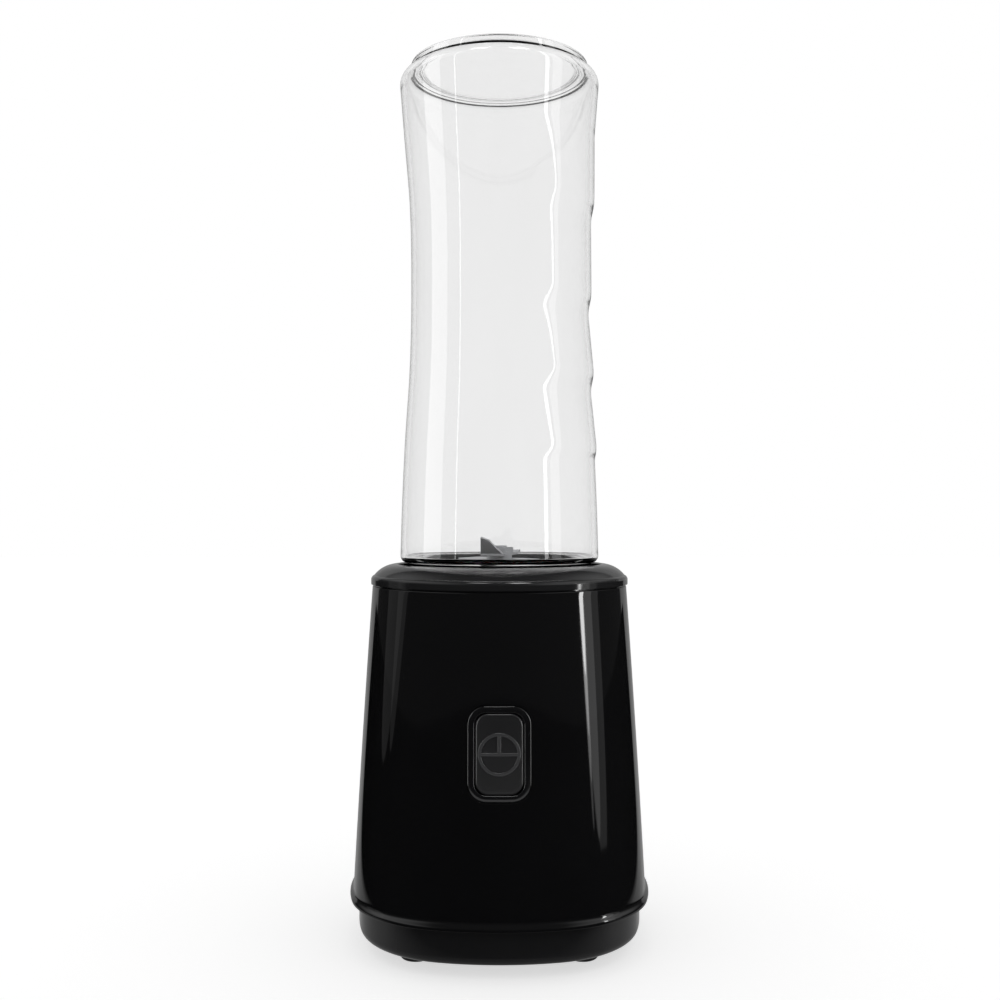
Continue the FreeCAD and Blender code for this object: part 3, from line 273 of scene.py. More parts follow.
finishes = {
    # High-gloss ABS from a polished mould: mirror-like, with a trace of orange peel.
    "gloss_shell": moulded("piano_black_abs", "#121213", "#161617", (0.03, 0.06), 7.0, 0.002, IOR=1.53),
    # Black ABS, half gloss: broad soft reflections over a faint 1.2 mm grain.
    "satin_cover": moulded("half_gloss_black_abs", "#212122", "#262627", (0.08, 0.12), 1.2, 0.003),
    # Polished ABS again, a little softer, as a small trim ring is handled more.
    "gloss_trim": moulded("black_abs_trim", "#080809", "#0c0c0d", (0.09, 0.14), 5.0, 0.004, IOR=1.53),
    # Satin ABS key with a 0.6 mm grain: it spreads its reflections to an even charcoal.
    "satin_key": moulded("satin_charcoal_abs_key", "#111112", "#151516", (0.26, 0.32), 0.6, 0.003),
    # The same ABS, a little smoother on the sign's ridges, and painted paler than the key: a painted
    # highlight that stands in for the light the ridges catch, so that the sign reads on the key.
    "painted_highlight_sign": moulded("charcoal_abs_sign_painted_paler", "#29292a", "#2e2e2f", (0.18, 0.24), 3.0, 0.002),
    # Matt black polypropylene, slightly cloudy, that stays dark under the bright bottle.
    "holder_plastic": moulded("matt_black_polypropylene", "#060607", "#0a0a0b", (0.55, 0.65), 2.4, 0.006,
                              Specular_IOR_Level=0.0),
    "clear_copolyester": clear_copolyester(),
    # Food silicone: milky and soft-edged.
    "silicone": moulded("milky_silicone", "#c4c7c8", "#d3d6d7", (0.4, 0.5), 1.5, 0.01,
                        Subsurface_Weight=0.25, Subsurface_Scale=0.002),
    # Black nitrile rubber: dull, with a 0.8 mm bloom.
    "rubber_parts": moulded("black_nitrile_rubber", "#111112", "#1a1a1b", (0.62, 0.78), 0.8, 0.02),
    # Black glass-filled polyester switch body.
    "switch_plastic": moulded("glass_filled_switch_body", "#191b1e", "#22252a", (0.35, 0.45), 1.0, 0.008),
    # Natural nylon: warm white and waxy.
    "nylon": moulded("natural_nylon", "#d9d4c5", "#e6e2d5", (0.32, 0.42), 1.6, 0.008,
                     Subsurface_Weight=0.15, Subsurface_Scale=0.002),
    # Tough black polyurethane coupler with a satin skin.
    "coupler_plastic": moulded("black_polyurethane_coupler", "#1a1b1d", "#222326", (0.36, 0.48), 1.1, 0.01),
    # Sintered bronze: warm, with open pores 0.5 mm apart.
    "bronze": worked_metal("sintered_bronze", "#7d5632", "#b48452", (0.34, 0.5), (1, 1, 1), 0.5, 0.01),
    # Brushed and tumbled stainless steel: a broad satin shine over streaks 0.5 mm apart along Y.
    "stainless": worked_metal("brushed_stainless", "#b6b7ba", "#c4c5c8", (0.52, 0.6), (1, 0.2, 1), 0.5,
                              0.0008, Anisotropic=0.3),
    # Zinc-plated pressed steel: pale, with cloudy spangle 3 mm across.
    "plated_steel": worked_metal("zinc_plated_steel", "#8b9095", "#bcc1c6", (0.28, 0.42), (1, 1, 1), 3.0,
                                 0.003),
    # Stacked silicon steel sheets, 0.5 mm each, drawn 1 mm apart so that they show.
    "lamination_steel": banded("stacked_silicon_steel", "#4a4d52", "#84888e", (0.35, 0.55), "Z", 1.0, 0.05,
                               0.9),
    # Wound copper wire under clear enamel, 0.7 mm a turn.
    "enamelled_wire": banded("enamelled_copper_wire", "#5f2408", "#b5581f", (0.22, 0.4), "Z", 0.7, 0.12, 0.6),
    # Machined copper with a film from the brushes.
    "copper": worked_metal("machined_copper", "#7b4630", "#c07f5c", (0.25, 0.4), (1, 1, 6), 1.5, 0.004),
    # Pressed brass strip.
    "brass_guide": worked_metal("pressed_brass", "#94783c", "#c9ab62", (0.25, 0.38), (0.2, 1, 1), 1.2, 0.003),
    # Pressed graphite: dull grey-black with a fine sparkle.
    "carbon": moulded("pressed_graphite", "#161618", "#2c2c30", (0.45, 0.62), 0.5, 0.015),
    "circuit_board": printed_board(),
    # Moulded cases of the board's parts.
    "component_plastic": moulded("moulded_component_case", "#16191f", "#272b33", (0.3, 0.42), 1.2, 0.008),
    # Drawn music wire: grey and bright, with faint streaks.
    "spring_steel": worked_metal("drawn_music_wire", "#6f7276", "#a9acb1", (0.2, 0.32), (1, 1, 0.3), 0.8,
                                 0.002),
    # Zinc-plated screw steel.
    "screw_steel": worked_metal("zinc_plated_screw", "#8e9297", "#c6cacf", (0.24, 0.36), (1, 1, 3), 1.2,
                                0.003),
}

for node in frame["nodes"].values():
    node.material_slots[0].material = finishes[node.data.materials[0].name]


for name in ("top_cover", "bottom_cover"):
    # Moulded edges are rounded by 0.3 mm, so that they catch the light as thin lines.
    soft = frame["nodes"][name].modifiers.new("soft_edges", "BEVEL")
    soft.width = 0.3 * MM
    soft.segments = 2
    soft.limit_method = "ANGLE"
    soft.angle_limit = math.radians(50)
    soft.harden_normals = True


# ---------------------------------------------------------------- housing

SHELL_LOW, SHELL_HIGH = low_high("housing")
SEAM = SHELL_LOW[2]
SHELL_HEIGHT = SHELL_HIGH[2] - SEAM
FOOT_HALF = 57.5
FOOT_FLATNESS = 0.8 * FOOT_HALF
TOP_RADIUS = 50.4
BULGE = 0.25
SIDE_ARC = math.radians(13)
WALL = 2.4
LIP_OUT = 1.2
LIP_HEIGHT = 0.9
LIP_FADE = 1.2


def shell_half(z):
    """The shell's half width: a straight taper with a bulge of 0.25 mm at the middle."""
    share = (z - SEAM) / SHELL_HEIGHT
    return FOOT_HALF + (TOP_RADIUS - FOOT_HALF) * share + BULGE * 4 * share * (1 - share)


def shell_flatness(z):
    """How far behind the axis each flat side's arc is centred: it shrinks to zero, a circle, at the top."""
    return FOOT_FLATNESS * (1 - (z - SEAM) / SHELL_HEIGHT)


def soft_square(turn, half, flatness):
    """A rounded square of eight tangent arcs, by the angle of its normal.

    Within 13 degrees of a side's direction the arc has radius half + flatness and its centre lies
    flatness behind the axis. Elsewhere it is the corner's arc, centred on the diagonal.
    """
    side = np.round(turn / QUARTER) * QUARTER
    diagonal = np.floor(turn / QUARTER) * QUARTER + QUARTER / 2
    on_side = np.abs(turn - side) <= SIDE_ARC + 1e-9
    side_radius = half + flatness
    corner_radius = side_radius - flatness / (math.cos(SIDE_ARC) - math.sin(SIDE_ARC))
    reach = (side_radius - corner_radius) * math.sin(SIDE_ARC) * math.sqrt(2)
    centre_x = np.where(on_side, -flatness * np.cos(side), reach * np.cos(diagonal))
    centre_y = np.where(on_side, -flatness * np.sin(side), reach * np.sin(diagonal))
    radius = np.where(on_side, side_radius, corner_radius)
    return centre_x + radius * np.cos(turn), centre_y + radius * np.sin(turn)


def front_wall(x, z, out=0.0):
    """How far in front of the axis the front side lies at (x, z), grown by out."""
    flatness = shell_flatness(z)
    return np.sqrt((shell_half(z) + out + flatness) ** 2 - x ** 2) - flatness


def lip(z):
    """The lip's stand-off: 1.2 mm for the first 0.9 mm above the seam, then half a bell 1.2 mm wide."""
    return LIP_OUT * np.exp(-(np.maximum(z - SEAM - LIP_HEIGHT, 0) / LIP_FADE) ** 2)


BUTTON_HEIGHT = 80.2
KEY_HALF = (17.0 / 2, 28.6 / 2)
KEY_CORNER = 4.6
KEY_PROUD = 0.6
BEZEL_HALF = (22.9 / 2, 33.9 / 2)
BEZEL_CORNER = 6.8
BEZEL_PROUD = 0.35
BEZEL_WIDTH = 2.45


def make_shell():
    """The housing: a closed wall whose outline is a soft square at each height, with the button's hole."""
    columns = 288
    turns = np.linspace(0, 2 * math.pi, columns, endpoint=False)
    heights = np.concatenate([
        np.linspace(0.3, 4.5, 28), np.linspace(5.6, SHELL_HEIGHT - 0.5, 76)]) + SEAM
    bend = np.linspace(0, QUARTER, 5)
    edge, heel_edge, hole_edge, clearance = 0.4, 0.3, 0.25, 0.1
    crown = SEAM + SHELL_HEIGHT
    outer = np.stack([lip(heights), heights], -1)
    top = np.stack([edge * np.cos(bend[1:]) - edge, crown - edge + edge * np.sin(bend[1:])], -1)
    inner = np.stack([np.full(len(heights), -WALL), heights[::-1]], -1)
    foot = np.stack([lip(SEAM) - heel_edge + heel_edge * np.sin(bend[:-1]),
                     SEAM + heel_edge - heel_edge * np.cos(bend[:-1])], -1)
    rim = np.array([[-WALL, crown]])
    heel = np.array([[-WALL, SEAM]])
    profile = np.concatenate([foot, outer, top, rim, inner, heel])
    out, z = profile[:, :1], profile[:, 1:]
    x, y = soft_square(turns[None, :], shell_half(z) + out, shell_flatness(z))
    points = np.stack([x, y, np.broadcast_to(z, x.shape)], -1)
    rows = len(profile)
    faces = grid_faces(rows, columns, wrap_rows=True, wrap_columns=True).reshape(rows, columns, 4)

    # The hole's block of cells is left out on both faces, and a patch runs from it to the hole.
    block_low, block_high, block_half = 58.5, 102.0, 9
    first = len(foot) + int(np.searchsorted(heights, block_low))
    last = len(foot) + int(np.searchsorted(heights, block_high))
    mirror_first = len(foot) + len(outer) + len(top) + 1 + (len(foot) + len(outer) - 1 - last)
    mirror_last = mirror_first + last - first
    left, right = columns * 3 // 4 - block_half, columns * 3 // 4 + block_half
    keep = np.ones((rows, columns), bool)
    keep[first:last, left:right] = False
    keep[mirror_first:mirror_last, left:right] = False

    def border(low, high):
        """The block's outline, once round, starting from the row low."""
        return np.concatenate([
            points[low, left:right], points[low:high, right] if low < high else points[low:high:-1, right],
            points[high, right:left:-1], points[high:low:-1, left] if low < high else points[high:low, left]])

    outside = border(first, last)
    inside = border(mirror_last, mirror_first)
    flat = np.array(BEZEL_HALF) + clearance
    corner = BEZEL_CORNER + clearance
    middle = np.array([0.0, BUTTON_HEIGHT])
    reach = outside[:, [0, 2]] - middle
    core = np.clip(reach, -(flat - corner), flat - corner)
    away = (reach - core) / np.linalg.norm(reach - core, axis=1, keepdims=True)

    def hole(grow, deep):
        """The hole's outline grown by grow mm, deep mm below the outer face."""
        at = middle + core + (corner + grow) * away
        return np.stack([at[:, 0], -front_wall(at[:, 0], at[:, 1], -deep), at[:, 1]], -1)

    rings = []
    for share in np.linspace(1, 0, 9)[:-1]:
        flat_place = share * outside[:, [0, 2]] + (1 - share) * hole(hole_edge, 0)[:, [0, 2]]
        y_place = -front_wall(flat_place[:, 0], flat_place[:, 1])
        rings.append(np.stack([flat_place[:, 0], y_place, flat_place[:, 1]], -1))
    rings += [hole(hole_edge * (1 - math.sin(a)), hole_edge * (1 - math.cos(a))) for a in bend]
    rings += [hole(0, WALL)]
    for share in np.linspace(0, 1, 5)[1:]:
        flat_place = share * inside[:, [0, 2]] + (1 - share) * hole(0, WALL)[:, [0, 2]]
        y_place = -front_wall(flat_place[:, 0], flat_place[:, 1], -WALL)
        rings.append(np.stack([flat_place[:, 0], y_place, flat_place[:, 1]], -1))
    rings[0] = outside
    rings[-1] = inside
    patch = np.stack(rings)
    patches = [(points, faces[keep]), (patch, grid_faces(len(rings), patch.shape[1], wrap_columns=True))]
    return piece("housing_shell", patches, "base", "gloss_shell", ["housing"])


# ---------------------------------------------------------------- button and bezel

def rounded_outline(half, corner, grow):
    """A rounded rectangle by core point and normal angle: core + radius * (cos, sin), grown by grow."""
    arc = np.linspace(0, QUARTER, 13)
    angle, along_x, along_z = [], [], []
    signs = [(1, 1), (-1, 1), (-1, -1), (1, -1)]
    for k, (sx, sz) in enumerate(signs):
        nx, nz = signs[(k + 1) % 4]
        run = np.linspace(0, 1, 16)[1:-1]
        angle.append(np.concatenate([arc + k * QUARTER, np.full(len(run), (k + 1) * QUARTER)]))
        along_x.append(np.concatenate([np.full(len(arc), sx), sx + (nx - sx) * run]))
        along_z.append(np.concatenate([np.full(len(arc), sz), sz + (nz - sz) * run]))
    angle, along_x, along_z = (np.concatenate(v) for v in (angle, along_x, along_z))
    radius = max(corner + grow, 0.0)
    x = (half[0] + grow - radius) * along_x + radius * np.cos(angle)
    z = (half[1] + grow - radius) * along_z + radius * np.sin(angle)
    return x, z + BUTTON_HEIGHT


def make_bezel():
    """The ring round the key: a closed profile of (growth, stand-off) carried round the outline."""
    bend = np.linspace(0, QUARTER, 6)
    soft = 0.35
    outer = np.stack([soft * np.cos(bend) - soft, BEZEL_PROUD - soft + soft * np.sin(bend)], -1)
    inner = np.stack([soft - BEZEL_WIDTH - soft * np.sin(bend), BEZEL_PROUD - soft + soft * np.cos(bend)], -1)
    flange, flange_front, back = 2.05, -2.45, -3.9
    profile = np.concatenate([
        [[flange, back], [flange, flange_front], [0, flange_front]], outer, inner, [[-BEZEL_WIDTH, back]]])
    rings = []
    for grow, out in profile:
        x, z = rounded_outline(BEZEL_HALF, BEZEL_CORNER, grow)
        rings.append(np.stack([x, -front_wall(x, z, out), z], -1))
    patch = np.stack(rings)
    faces = grid_faces(len(rings), patch.shape[1], wrap_rows=True, wrap_columns=True)
    return piece("bezel_ring", [(patch, faces)], "base", "gloss_trim", ["button_bezel"])


def make_key():
    """The key: its face follows the shell 0.6 mm proud, with a rounded edge, a flange, post and pins."""
    key_back = low_high("push_button")[1][1]
    flange, flange_deep, flange_thick = 1.9, 4.2, 1.2
    far_corner = float(front_wall(KEY_HALF[0] + flange, BUTTON_HEIGHT + KEY_HALF[1] + flange))
    flange_front = flange_deep - far_corner
    back = flange_front + flange_thick
    bend = np.linspace(0, QUARTER, 6)
    soft = 0.55
    face_steps = [(grow, KEY_PROUD) for grow in np.linspace(-KEY_HALF[0], -soft, 8)[:-1]]
    face_steps += [(soft * math.sin(a) - soft, KEY_PROUD - soft * (1 - math.cos(a))) for a in bend]
    rings = []
    for grow, out in face_steps:
        x, z = rounded_outline(KEY_HALF, KEY_CORNER, grow)
        rings.append(np.stack([x, -front_wall(x, z, out), z], -1))
    for grow, y in ((0, flange_front), (flange, flange_front), (flange, back), (-KEY_HALF[0], back)):
        x, z = rounded_outline(KEY_HALF, KEY_CORNER, grow)
        rings.append(np.stack([x, np.full(len(x), y), z], -1))
    patch = np.stack(rings)
    parts = [(patch, grid_faces(len(rings), patch.shape[1], wrap_columns=True))]
    post_radius, post_short, pin_radius, pin_from_middle, sunk = 2.5, 4.1, 1.5, 12.5, 0.6
    parts.append(rod_along_y(post_radius, back - sunk, key_back - post_short, 0, BUTTON_HEIGHT))
    for side in (-1, 1):
        height = BUTTON_HEIGHT + side * pin_from_middle
        parts.append(rod_along_y(pin_radius, back - sunk, key_back, 0, height))
    return piece("key", parts, "button", "satin_key", ["push_button"])


def make_sign():
    """The sign moulded on the key: a ring, a level bar and a short upright bar, as low ridges.

    A ridge's section is a squared half round, |cos|^0.4 wide by |sin|^0.4 high, sunk 0.3 mm at its foot.
    """
    half, rise, sunk, squareness = 0.62, 0.3, 0.3, 0.4
    turn = np.linspace(0, math.pi, 17)
    across = half * np.sign(np.cos(turn)) * np.abs(np.cos(turn)) ** squareness
    high = rise * np.abs(np.sin(turn)) ** squareness
    across = np.concatenate([across, [-half, half]])
    high = np.concatenate([high, [-sunk, -sunk]])

    def on_key(x, z, out):
        """Points out mm above the key's face."""
        return np.stack([x, -front_wall(x, z + BUTTON_HEIGHT, KEY_PROUD + out), z + BUTTON_HEIGHT], -1)

    steps, corners, ring_radius = 96, len(across), 7.05
    around = np.linspace(0, 2 * math.pi, steps, endpoint=False)[:, None]
    radius = ring_radius + across[None, :]
    ring = on_key(radius * np.cos(around), radius * np.sin(around), np.broadcast_to(high, (steps, corners)))
    patches = [(ring, grid_faces(steps, corners, wrap_rows=True, wrap_columns=True))]
    reach, above_bar = 6.9, 0.2
    for start, level in ((-reach, True), (above_bar, False)):
        run = np.array([start, start, *np.linspace(start, reach, 9)[1:-1], reach, reach])[:, None]
        shrink = np.array([0.0] + [1.0] * 9 + [0.0])[:, None]
        side = across[None, :] * shrink
        out = (high[None, :] + sunk) * shrink - sunk
        along = run + 0 * side
        bar = on_key(along, side, out) if level else on_key(side, along, out)
        patches.append((bar, grid_faces(len(run), corners, wrap_columns=True)))
    # The sign's finish is painted paler than the key's, as a painted highlight on its ridges.
    return piece("key_sign", patches, "button", "satin_key", sharp=50, finish="painted_highlight_sign")


# ---------------------------------------------------------------- springs

def make_spring(name, node, turns, wire, along):
    """A coil spring that fills its node's box, in place of that node.

    A circle of the wire is carried along the helix (R cos a, R sin a, h), where h is level for the
    first and last half turn and rises evenly between. along is 2 for a spring along Y, or -3 for one
    along Z: its size picks the axis, and its sign is not used.
    """
    low, high = low_high(node)
    axis = abs(along) - 1
    radius = (high[0] - low[0] - wire) / 2
    rise = high[axis] - low[axis] - wire
    steps, sides = 32, 10
    share = np.linspace(0, 1, steps * turns + 1)
    turn = 2 * math.pi * turns * share
    height = rise * (np.clip((share * turns - 0.5) / (turns - 1), 0, 1) - 0.5)
    line = np.stack([radius * np.cos(turn), radius * np.sin(turn), height], -1)
    ahead = np.gradient(line, axis=0)
    ahead /= np.linalg.norm(ahead, axis=1, keepdims=True)
    out = np.stack([np.cos(turn), np.sin(turn), 0 * turn], -1)
    side = np.cross(ahead, out)
    around = np.linspace(0, 2 * math.pi, sides, endpoint=False)[None, :, None]
    tube = line[:, None] + wire / 2 * (np.cos(around) * out[:, None] + np.sin(around) * side[:, None])
    caps = np.broadcast_to(line[[0, -1], None], (2, sides, 3))
    tube = np.concatenate([caps[:1], tube, caps[1:]])
    if axis == 1:
        tube = tube[..., [0, 2, 1]]
    tube = tube + (low + high) / 2
    faces = grid_faces(len(tube), sides, wrap_columns=True)
    made = piece(name, [(tube, faces)], "base", "spring_steel", [node])
    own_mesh(made)
    return made


# ---------------------------------------------------------------- bottle

BOTTLE_LOW, BOTTLE_HIGH = low_high("bottle")
BOTTLE_TOP = BOTTLE_HIGH[2]
NECK_END = BOTTLE_LOW[2]
BOTTLE_RADIUS = 39.4
BOTTLE_WALL = 2.0
BOTTLE_FOOT = BOTTLE_TOP - 198.6
FOOT_ROUND = 2.6
NECK_RADIUS = 33.4
NECK_WALL = 2.0
PITCH = 6.0
SIDE_LOW = BOTTLE_FOOT + FOOT_ROUND
SIDE_HIGH = BOTTLE_TOP - 8.6
RING_RADIUS = BOTTLE_RADIUS - 4.1
RING_WIDTH = 3.4
RING_HEIGHT = 3.8
# The side's inset in mm at shares of its height, and the grips' ridges by share and inset.
WAIST = ((0.0, 0.08, 0.24, 0.40, 0.58, 0.75, 0.88, 1.0), (0.0, 0.4, 1.7, 3.6, 4.2, 3.5, 1.5, -0.3))
RIDGES = ((0.747, 1.4), (0.55, 2.6), (0.384, 1.6), (0.224, 0.5))


def waist(z):
    """How far the side lies inside the widest radius."""
    return through(np.clip((z - SIDE_LOW) / (SIDE_HIGH - SIDE_LOW), 0, 1), *WAIST)


def grip(z):
    """The grips' own inset: it swells down to each ridge, then steps in by 1.4 mm over 6 mm.

    The steps are softened by the mean of the broken line over 5 mm. Above and below the grips it is
    without limit, so that the plain side stands.
    """
    span = SIDE_HIGH - SIDE_LOW
    top_share, top_inset, end_share, end_inset = 0.90, 1.3, 0.10, 0.5
    step_in, step_length, soften = 1.4, 6.0, 2.5
    heights, insets = [SIDE_LOW + top_share * span], [top_inset]
    for share, inset in RIDGES:
        heights += [SIDE_LOW + share * span, SIDE_LOW + share * span - step_length]
        insets += [inset, inset + step_in]
    heights.append(SIDE_LOW + end_share * span)
    insets.append(end_inset)
    window = np.linspace(-soften, soften, 21)
    line = np.interp(z[:, None] + window, heights[::-1], insets[::-1])
    inside = (z > heights[-1]) & (z < heights[0])
    return np.where(inside, line.mean(1), np.inf)


def make_bottle_wall():
    """The bottle: outer form, end ring and inner form as one closed turned wall.

    Within 72 degrees of +X the radius follows the grips where they stand out, faded over the last 20
    degrees. The neck's thread is a helical ridge, one turn of 6 mm pitch, faded at both ends.
    """
    columns = 240
    turns = np.linspace(0, 2 * math.pi, columns, endpoint=False)
    bend = np.linspace(0, QUARTER, 9)
    mouth = [[NECK_RADIUS - NECK_WALL, NECK_END], [NECK_RADIUS - 0.5, NECK_END]]
    thread = np.linspace(NECK_END + 0.5, BOTTLE_FOOT - 0.8, 34)
    neck = np.concatenate([
        mouth,
        np.stack([np.full(len(thread), NECK_RADIUS), thread], -1),
        [[NECK_RADIUS, BOTTLE_FOOT - 0.3], [NECK_RADIUS + 0.3, BOTTLE_FOOT]]])
    foot = np.stack([BOTTLE_RADIUS - FOOT_ROUND + FOOT_ROUND * np.sin(bend),
                     BOTTLE_FOOT + FOOT_ROUND - FOOT_ROUND * np.cos(bend)], -1)
    side_z = np.linspace(SIDE_LOW, SIDE_HIGH, 150)
    side = np.stack([BOTTLE_RADIUS - waist(side_z), side_z], -1)

    # The shoulder is a quarter oval up to the end ring, whose outer edge is round and whose inner
    # edge is broken by two small slopes down to the bottle's dished end.
    step = BOTTLE_TOP - RING_HEIGHT
    rise = step - SIDE_HIGH
    width = side[-1, 0] - RING_RADIUS
    shoulder = np.stack([RING_RADIUS + width * np.cos(bend[1:]), SIDE_HIGH + rise * np.sin(bend[1:])], -1)
    ring_bend = np.linspace(0, QUARTER, 5)
    ring_round = 0.8
    ring_edge = np.stack([RING_RADIUS - ring_round + ring_round * np.cos(ring_bend),
                          BOTTLE_TOP - ring_round + ring_round * np.sin(ring_bend)], -1)
    ring_inner = RING_RADIUS - RING_WIDTH
    dish = BOTTLE_TOP - 1.6
    end_ring = np.concatenate([
        [[RING_RADIUS, step + 0.3]],
        ring_edge,
        [[ring_inner + 0.3, BOTTLE_TOP], [ring_inner, BOTTLE_TOP - 0.3], [ring_inner - 0.8, BOTTLE_TOP - 1.4],
         [ring_inner - 1.2, dish]],
        np.stack([np.linspace(ring_inner - 3, 0, 8), np.full(8, dish)], -1)])

    ceiling = BOTTLE_TOP - 4.0
    inner_low = BOTTLE_RADIUS - BOTTLE_WALL
    inner_high = inner_low - WAIST[1][-1]
    depth = ceiling - SIDE_HIGH
    cap = np.stack([np.linspace(0, inner_high - depth, 8), np.full(8, ceiling)], -1)
    inner_shoulder = np.stack([
        inner_high - depth + depth * np.sin(bend[1:]), SIDE_HIGH + depth * np.cos(bend[1:])], -1)
    inner_z = side_z[::-1][::2][1:]
    inner_side = np.stack([inner_low - waist(inner_z), inner_z], -1)
    inner_foot = np.array([
        [inner_low - 0.1, SIDE_LOW - 0.2], [inner_low - 1.2, BOTTLE_FOOT + 2.0],
        [NECK_RADIUS - 1.6, BOTTLE_FOOT + 1.3], [NECK_RADIUS - NECK_WALL, BOTTLE_FOOT + 0.8]])
    profile = np.concatenate([
        neck, foot, side[1:], shoulder, end_ring, cap, inner_shoulder, inner_side, inner_foot])
    radius = np.repeat(profile[:, :1], columns, 1)
    z = profile[:, 1]

    first = len(neck) + len(foot)
    last = first + len(side) - 1
    angle = np.degrees(np.abs((turns + math.pi) % (2 * math.pi) - math.pi))
    grip_end, grip_fade = 72, 20
    weight = smooth_step((grip_end - angle) / grip_fade)
    plain = waist(z[first:last])[:, None]
    held = np.minimum(grip(z[first:last])[:, None], plain)
    radius[first:last] = BOTTLE_RADIUS - (plain + (held - plain) * weight[None, :])
    # The inside follows the grips, so that the wall stays 2 mm thick.
    first_inner = len(profile) - len(inner_foot) - len(inner_side)
    inner_plain = waist(inner_z)[:, None]
    inner_held = np.minimum(grip(inner_z)[:, None], inner_plain)
    radius[first_inner:first_inner + len(inner_side)] = inner_low - (
        inner_plain + (inner_held - inner_plain) * weight[None, :])

    thread_start, half_width, flank, thread_rise, run_out = 2.1, 1.15, 0.6, 0.9, 0.35
    rows = slice(len(mouth), len(mouth) + len(thread))
    climb = (thread[:, None] - (NECK_END + thread_start)) - PITCH * turns[None, :] / (2 * math.pi)
    ridge = smooth_step((half_width - np.abs(climb)) / flank)
    fade = smooth_step(turns / run_out) * smooth_step((2 * math.pi - turns) / run_out)
    radius[rows] += thread_rise * ridge * fade[None, :]

    points = np.stack([radius * np.cos(turns), radius * np.sin(turns), np.repeat(z[:, None], columns, 1)], -1)
    faces = grid_faces(len(profile), columns, wrap_rows=True, wrap_columns=True)
    return piece("bottle_wall", [(points, faces)], "bottle", "clear_copolyester", ["bottle"], sharp=60)


shell = make_shell()
bezel = make_bezel()
key = make_key()
sign = make_sign()
make_spring("button_coil", "button_spring", 3, 0.6, 2)
make_spring("interlock_coil", "interlock_spring", 4, 0.5, -3)
bottle = make_bottle_wall()


# ---------------------------------------------------------------- stage, light and camera

def place_at(azimuth, distance, height):
    """A point azimuth degrees round from the front towards +X, in metres from the drive axis."""
    a = math.radians(azimuth)
    return Vector((distance * math.sin(a), -distance * math.cos(a), height))


def lamp(name, place, aim, size, radiance, roll=0.0, only=(), shape="RECTANGLE"):
    """An area lamp facing aim, turned by roll degrees. Its power is radiance * pi * its area.

    With pieces in only, it lights nothing else.
    """
    made = bpy.data.objects.new(name, bpy.data.lights.new(name, "AREA"))
    made.data.shape = shape
    made.data.size, made.data.size_y = size
    filled = 1.0 if shape == "RECTANGLE" else math.pi / 4
    made.data.energy = radiance * math.pi * filled * size[0] * size[1]
    facing = (aim - place).to_track_quat("-Z", "Y")
    made.location = place
    made.rotation_euler = (facing @ Quaternion((0, 0, 1), math.radians(roll))).to_euler()
    made.visible_camera = False
    made.visible_transmission = False
    bpy.context.scene.collection.objects.link(made)
    if only:
        lit = bpy.data.collections.new(name + "_receivers")
        for one in only:
            lit.objects.link(one)
        made.light_linking.receiver_collection = lit
    return made


def strip(name, azimuth, distance, width, heights, radiance, roll=0.0, only=(), shape="RECTANGLE"):
    """An upright lamp between two heights, facing the drive axis."""
    place = place_at(azimuth, distance, sum(heights) / 2)
    aim = Vector((0, 0, place.z))
    return lamp(name, place, aim, (width, heights[1] - heights[0]), radiance, roll, only, shape)


def through_glass(tree, path):
    """1 for any ray that has passed through glass, and 0 for the others."""
    passed = add(tree, "ShaderNodeMath", {0: path.outputs["Transmission Depth"], 1: 0.5},
                 operation="GREATER_THAN")
    both = add(tree, "ShaderNodeMath", {0: path.outputs["Is Transmission Ray"], 1: passed.outputs[0]},
               operation="MAXIMUM")
    return both.outputs[0]


def make_world():
    """White to the camera and through glass, and an even 0.45 to matt surfaces.

    Reflections see a dark room: a level of 0.36 straight behind, where y > 0.74, and walls that
    brighten up to 0.8 high up at both sides, as two smooth steps in |x| and in z.
    """
    world = bpy.data.worlds.new("studio")
    bpy.context.scene.world = world
    world.use_nodes = True
    tree = world.node_tree
    tree.nodes.clear()
    path = add(tree, "ShaderNodeLightPath")
    way = add(tree, "ShaderNodeSeparateXYZ", {0: add(tree, "ShaderNodeTexCoord").outputs["Generated"]})
    behind = add(tree, "ShaderNodeMapRange", {
        "Value": way.outputs["Y"], "From Min": 0.72, "From Max": 0.76, "To Min": 0.03, "To Max": 0.36})
    across = add(tree, "ShaderNodeMath", {0: way.outputs["X"]}, operation="ABSOLUTE")
    aside = add(tree, "ShaderNodeMapRange", {
        "Value": across.outputs[0], "From Min": 0.3, "From Max": 0.8, "To Min": 0.04, "To Max": 1.0},
        interpolation_type="SMOOTHSTEP")
    above = add(tree, "ShaderNodeMapRange", {
        "Value": way.outputs["Z"], "From Min": 0.2, "From Max": 0.7, "To Min": 0.0, "To Max": 0.8},
        interpolation_type="SMOOTHSTEP")
    walls = add(tree, "ShaderNodeMath", {0: aside.outputs["Result"], 1: above.outputs["Result"]},
                operation="MULTIPLY")
    room = add(tree, "ShaderNodeMath", {0: behind.outputs["Result"], 1: walls.outputs[0]}, operation="ADD")
    fill = add(tree, "ShaderNodeMix", {0: path.outputs["Is Glossy Ray"], 2: 0.45, 3: room.outputs[0]},
               data_type="FLOAT")
    seen = add(tree, "ShaderNodeMath", {0: path.outputs["Is Camera Ray"], 1: through_glass(tree, path)},
               operation="MAXIMUM")
    level = add(tree, "ShaderNodeMix", {0: seen.outputs[0], 2: fill.outputs[0], 3: 1.0}, data_type="FLOAT")
    shade = add(tree, "ShaderNodeBackground", {"Color": linear("#ffffff"), "Strength": level.outputs[0]})
    add(tree, "ShaderNodeOutputWorld", {"Surface": shade.outputs[0]})


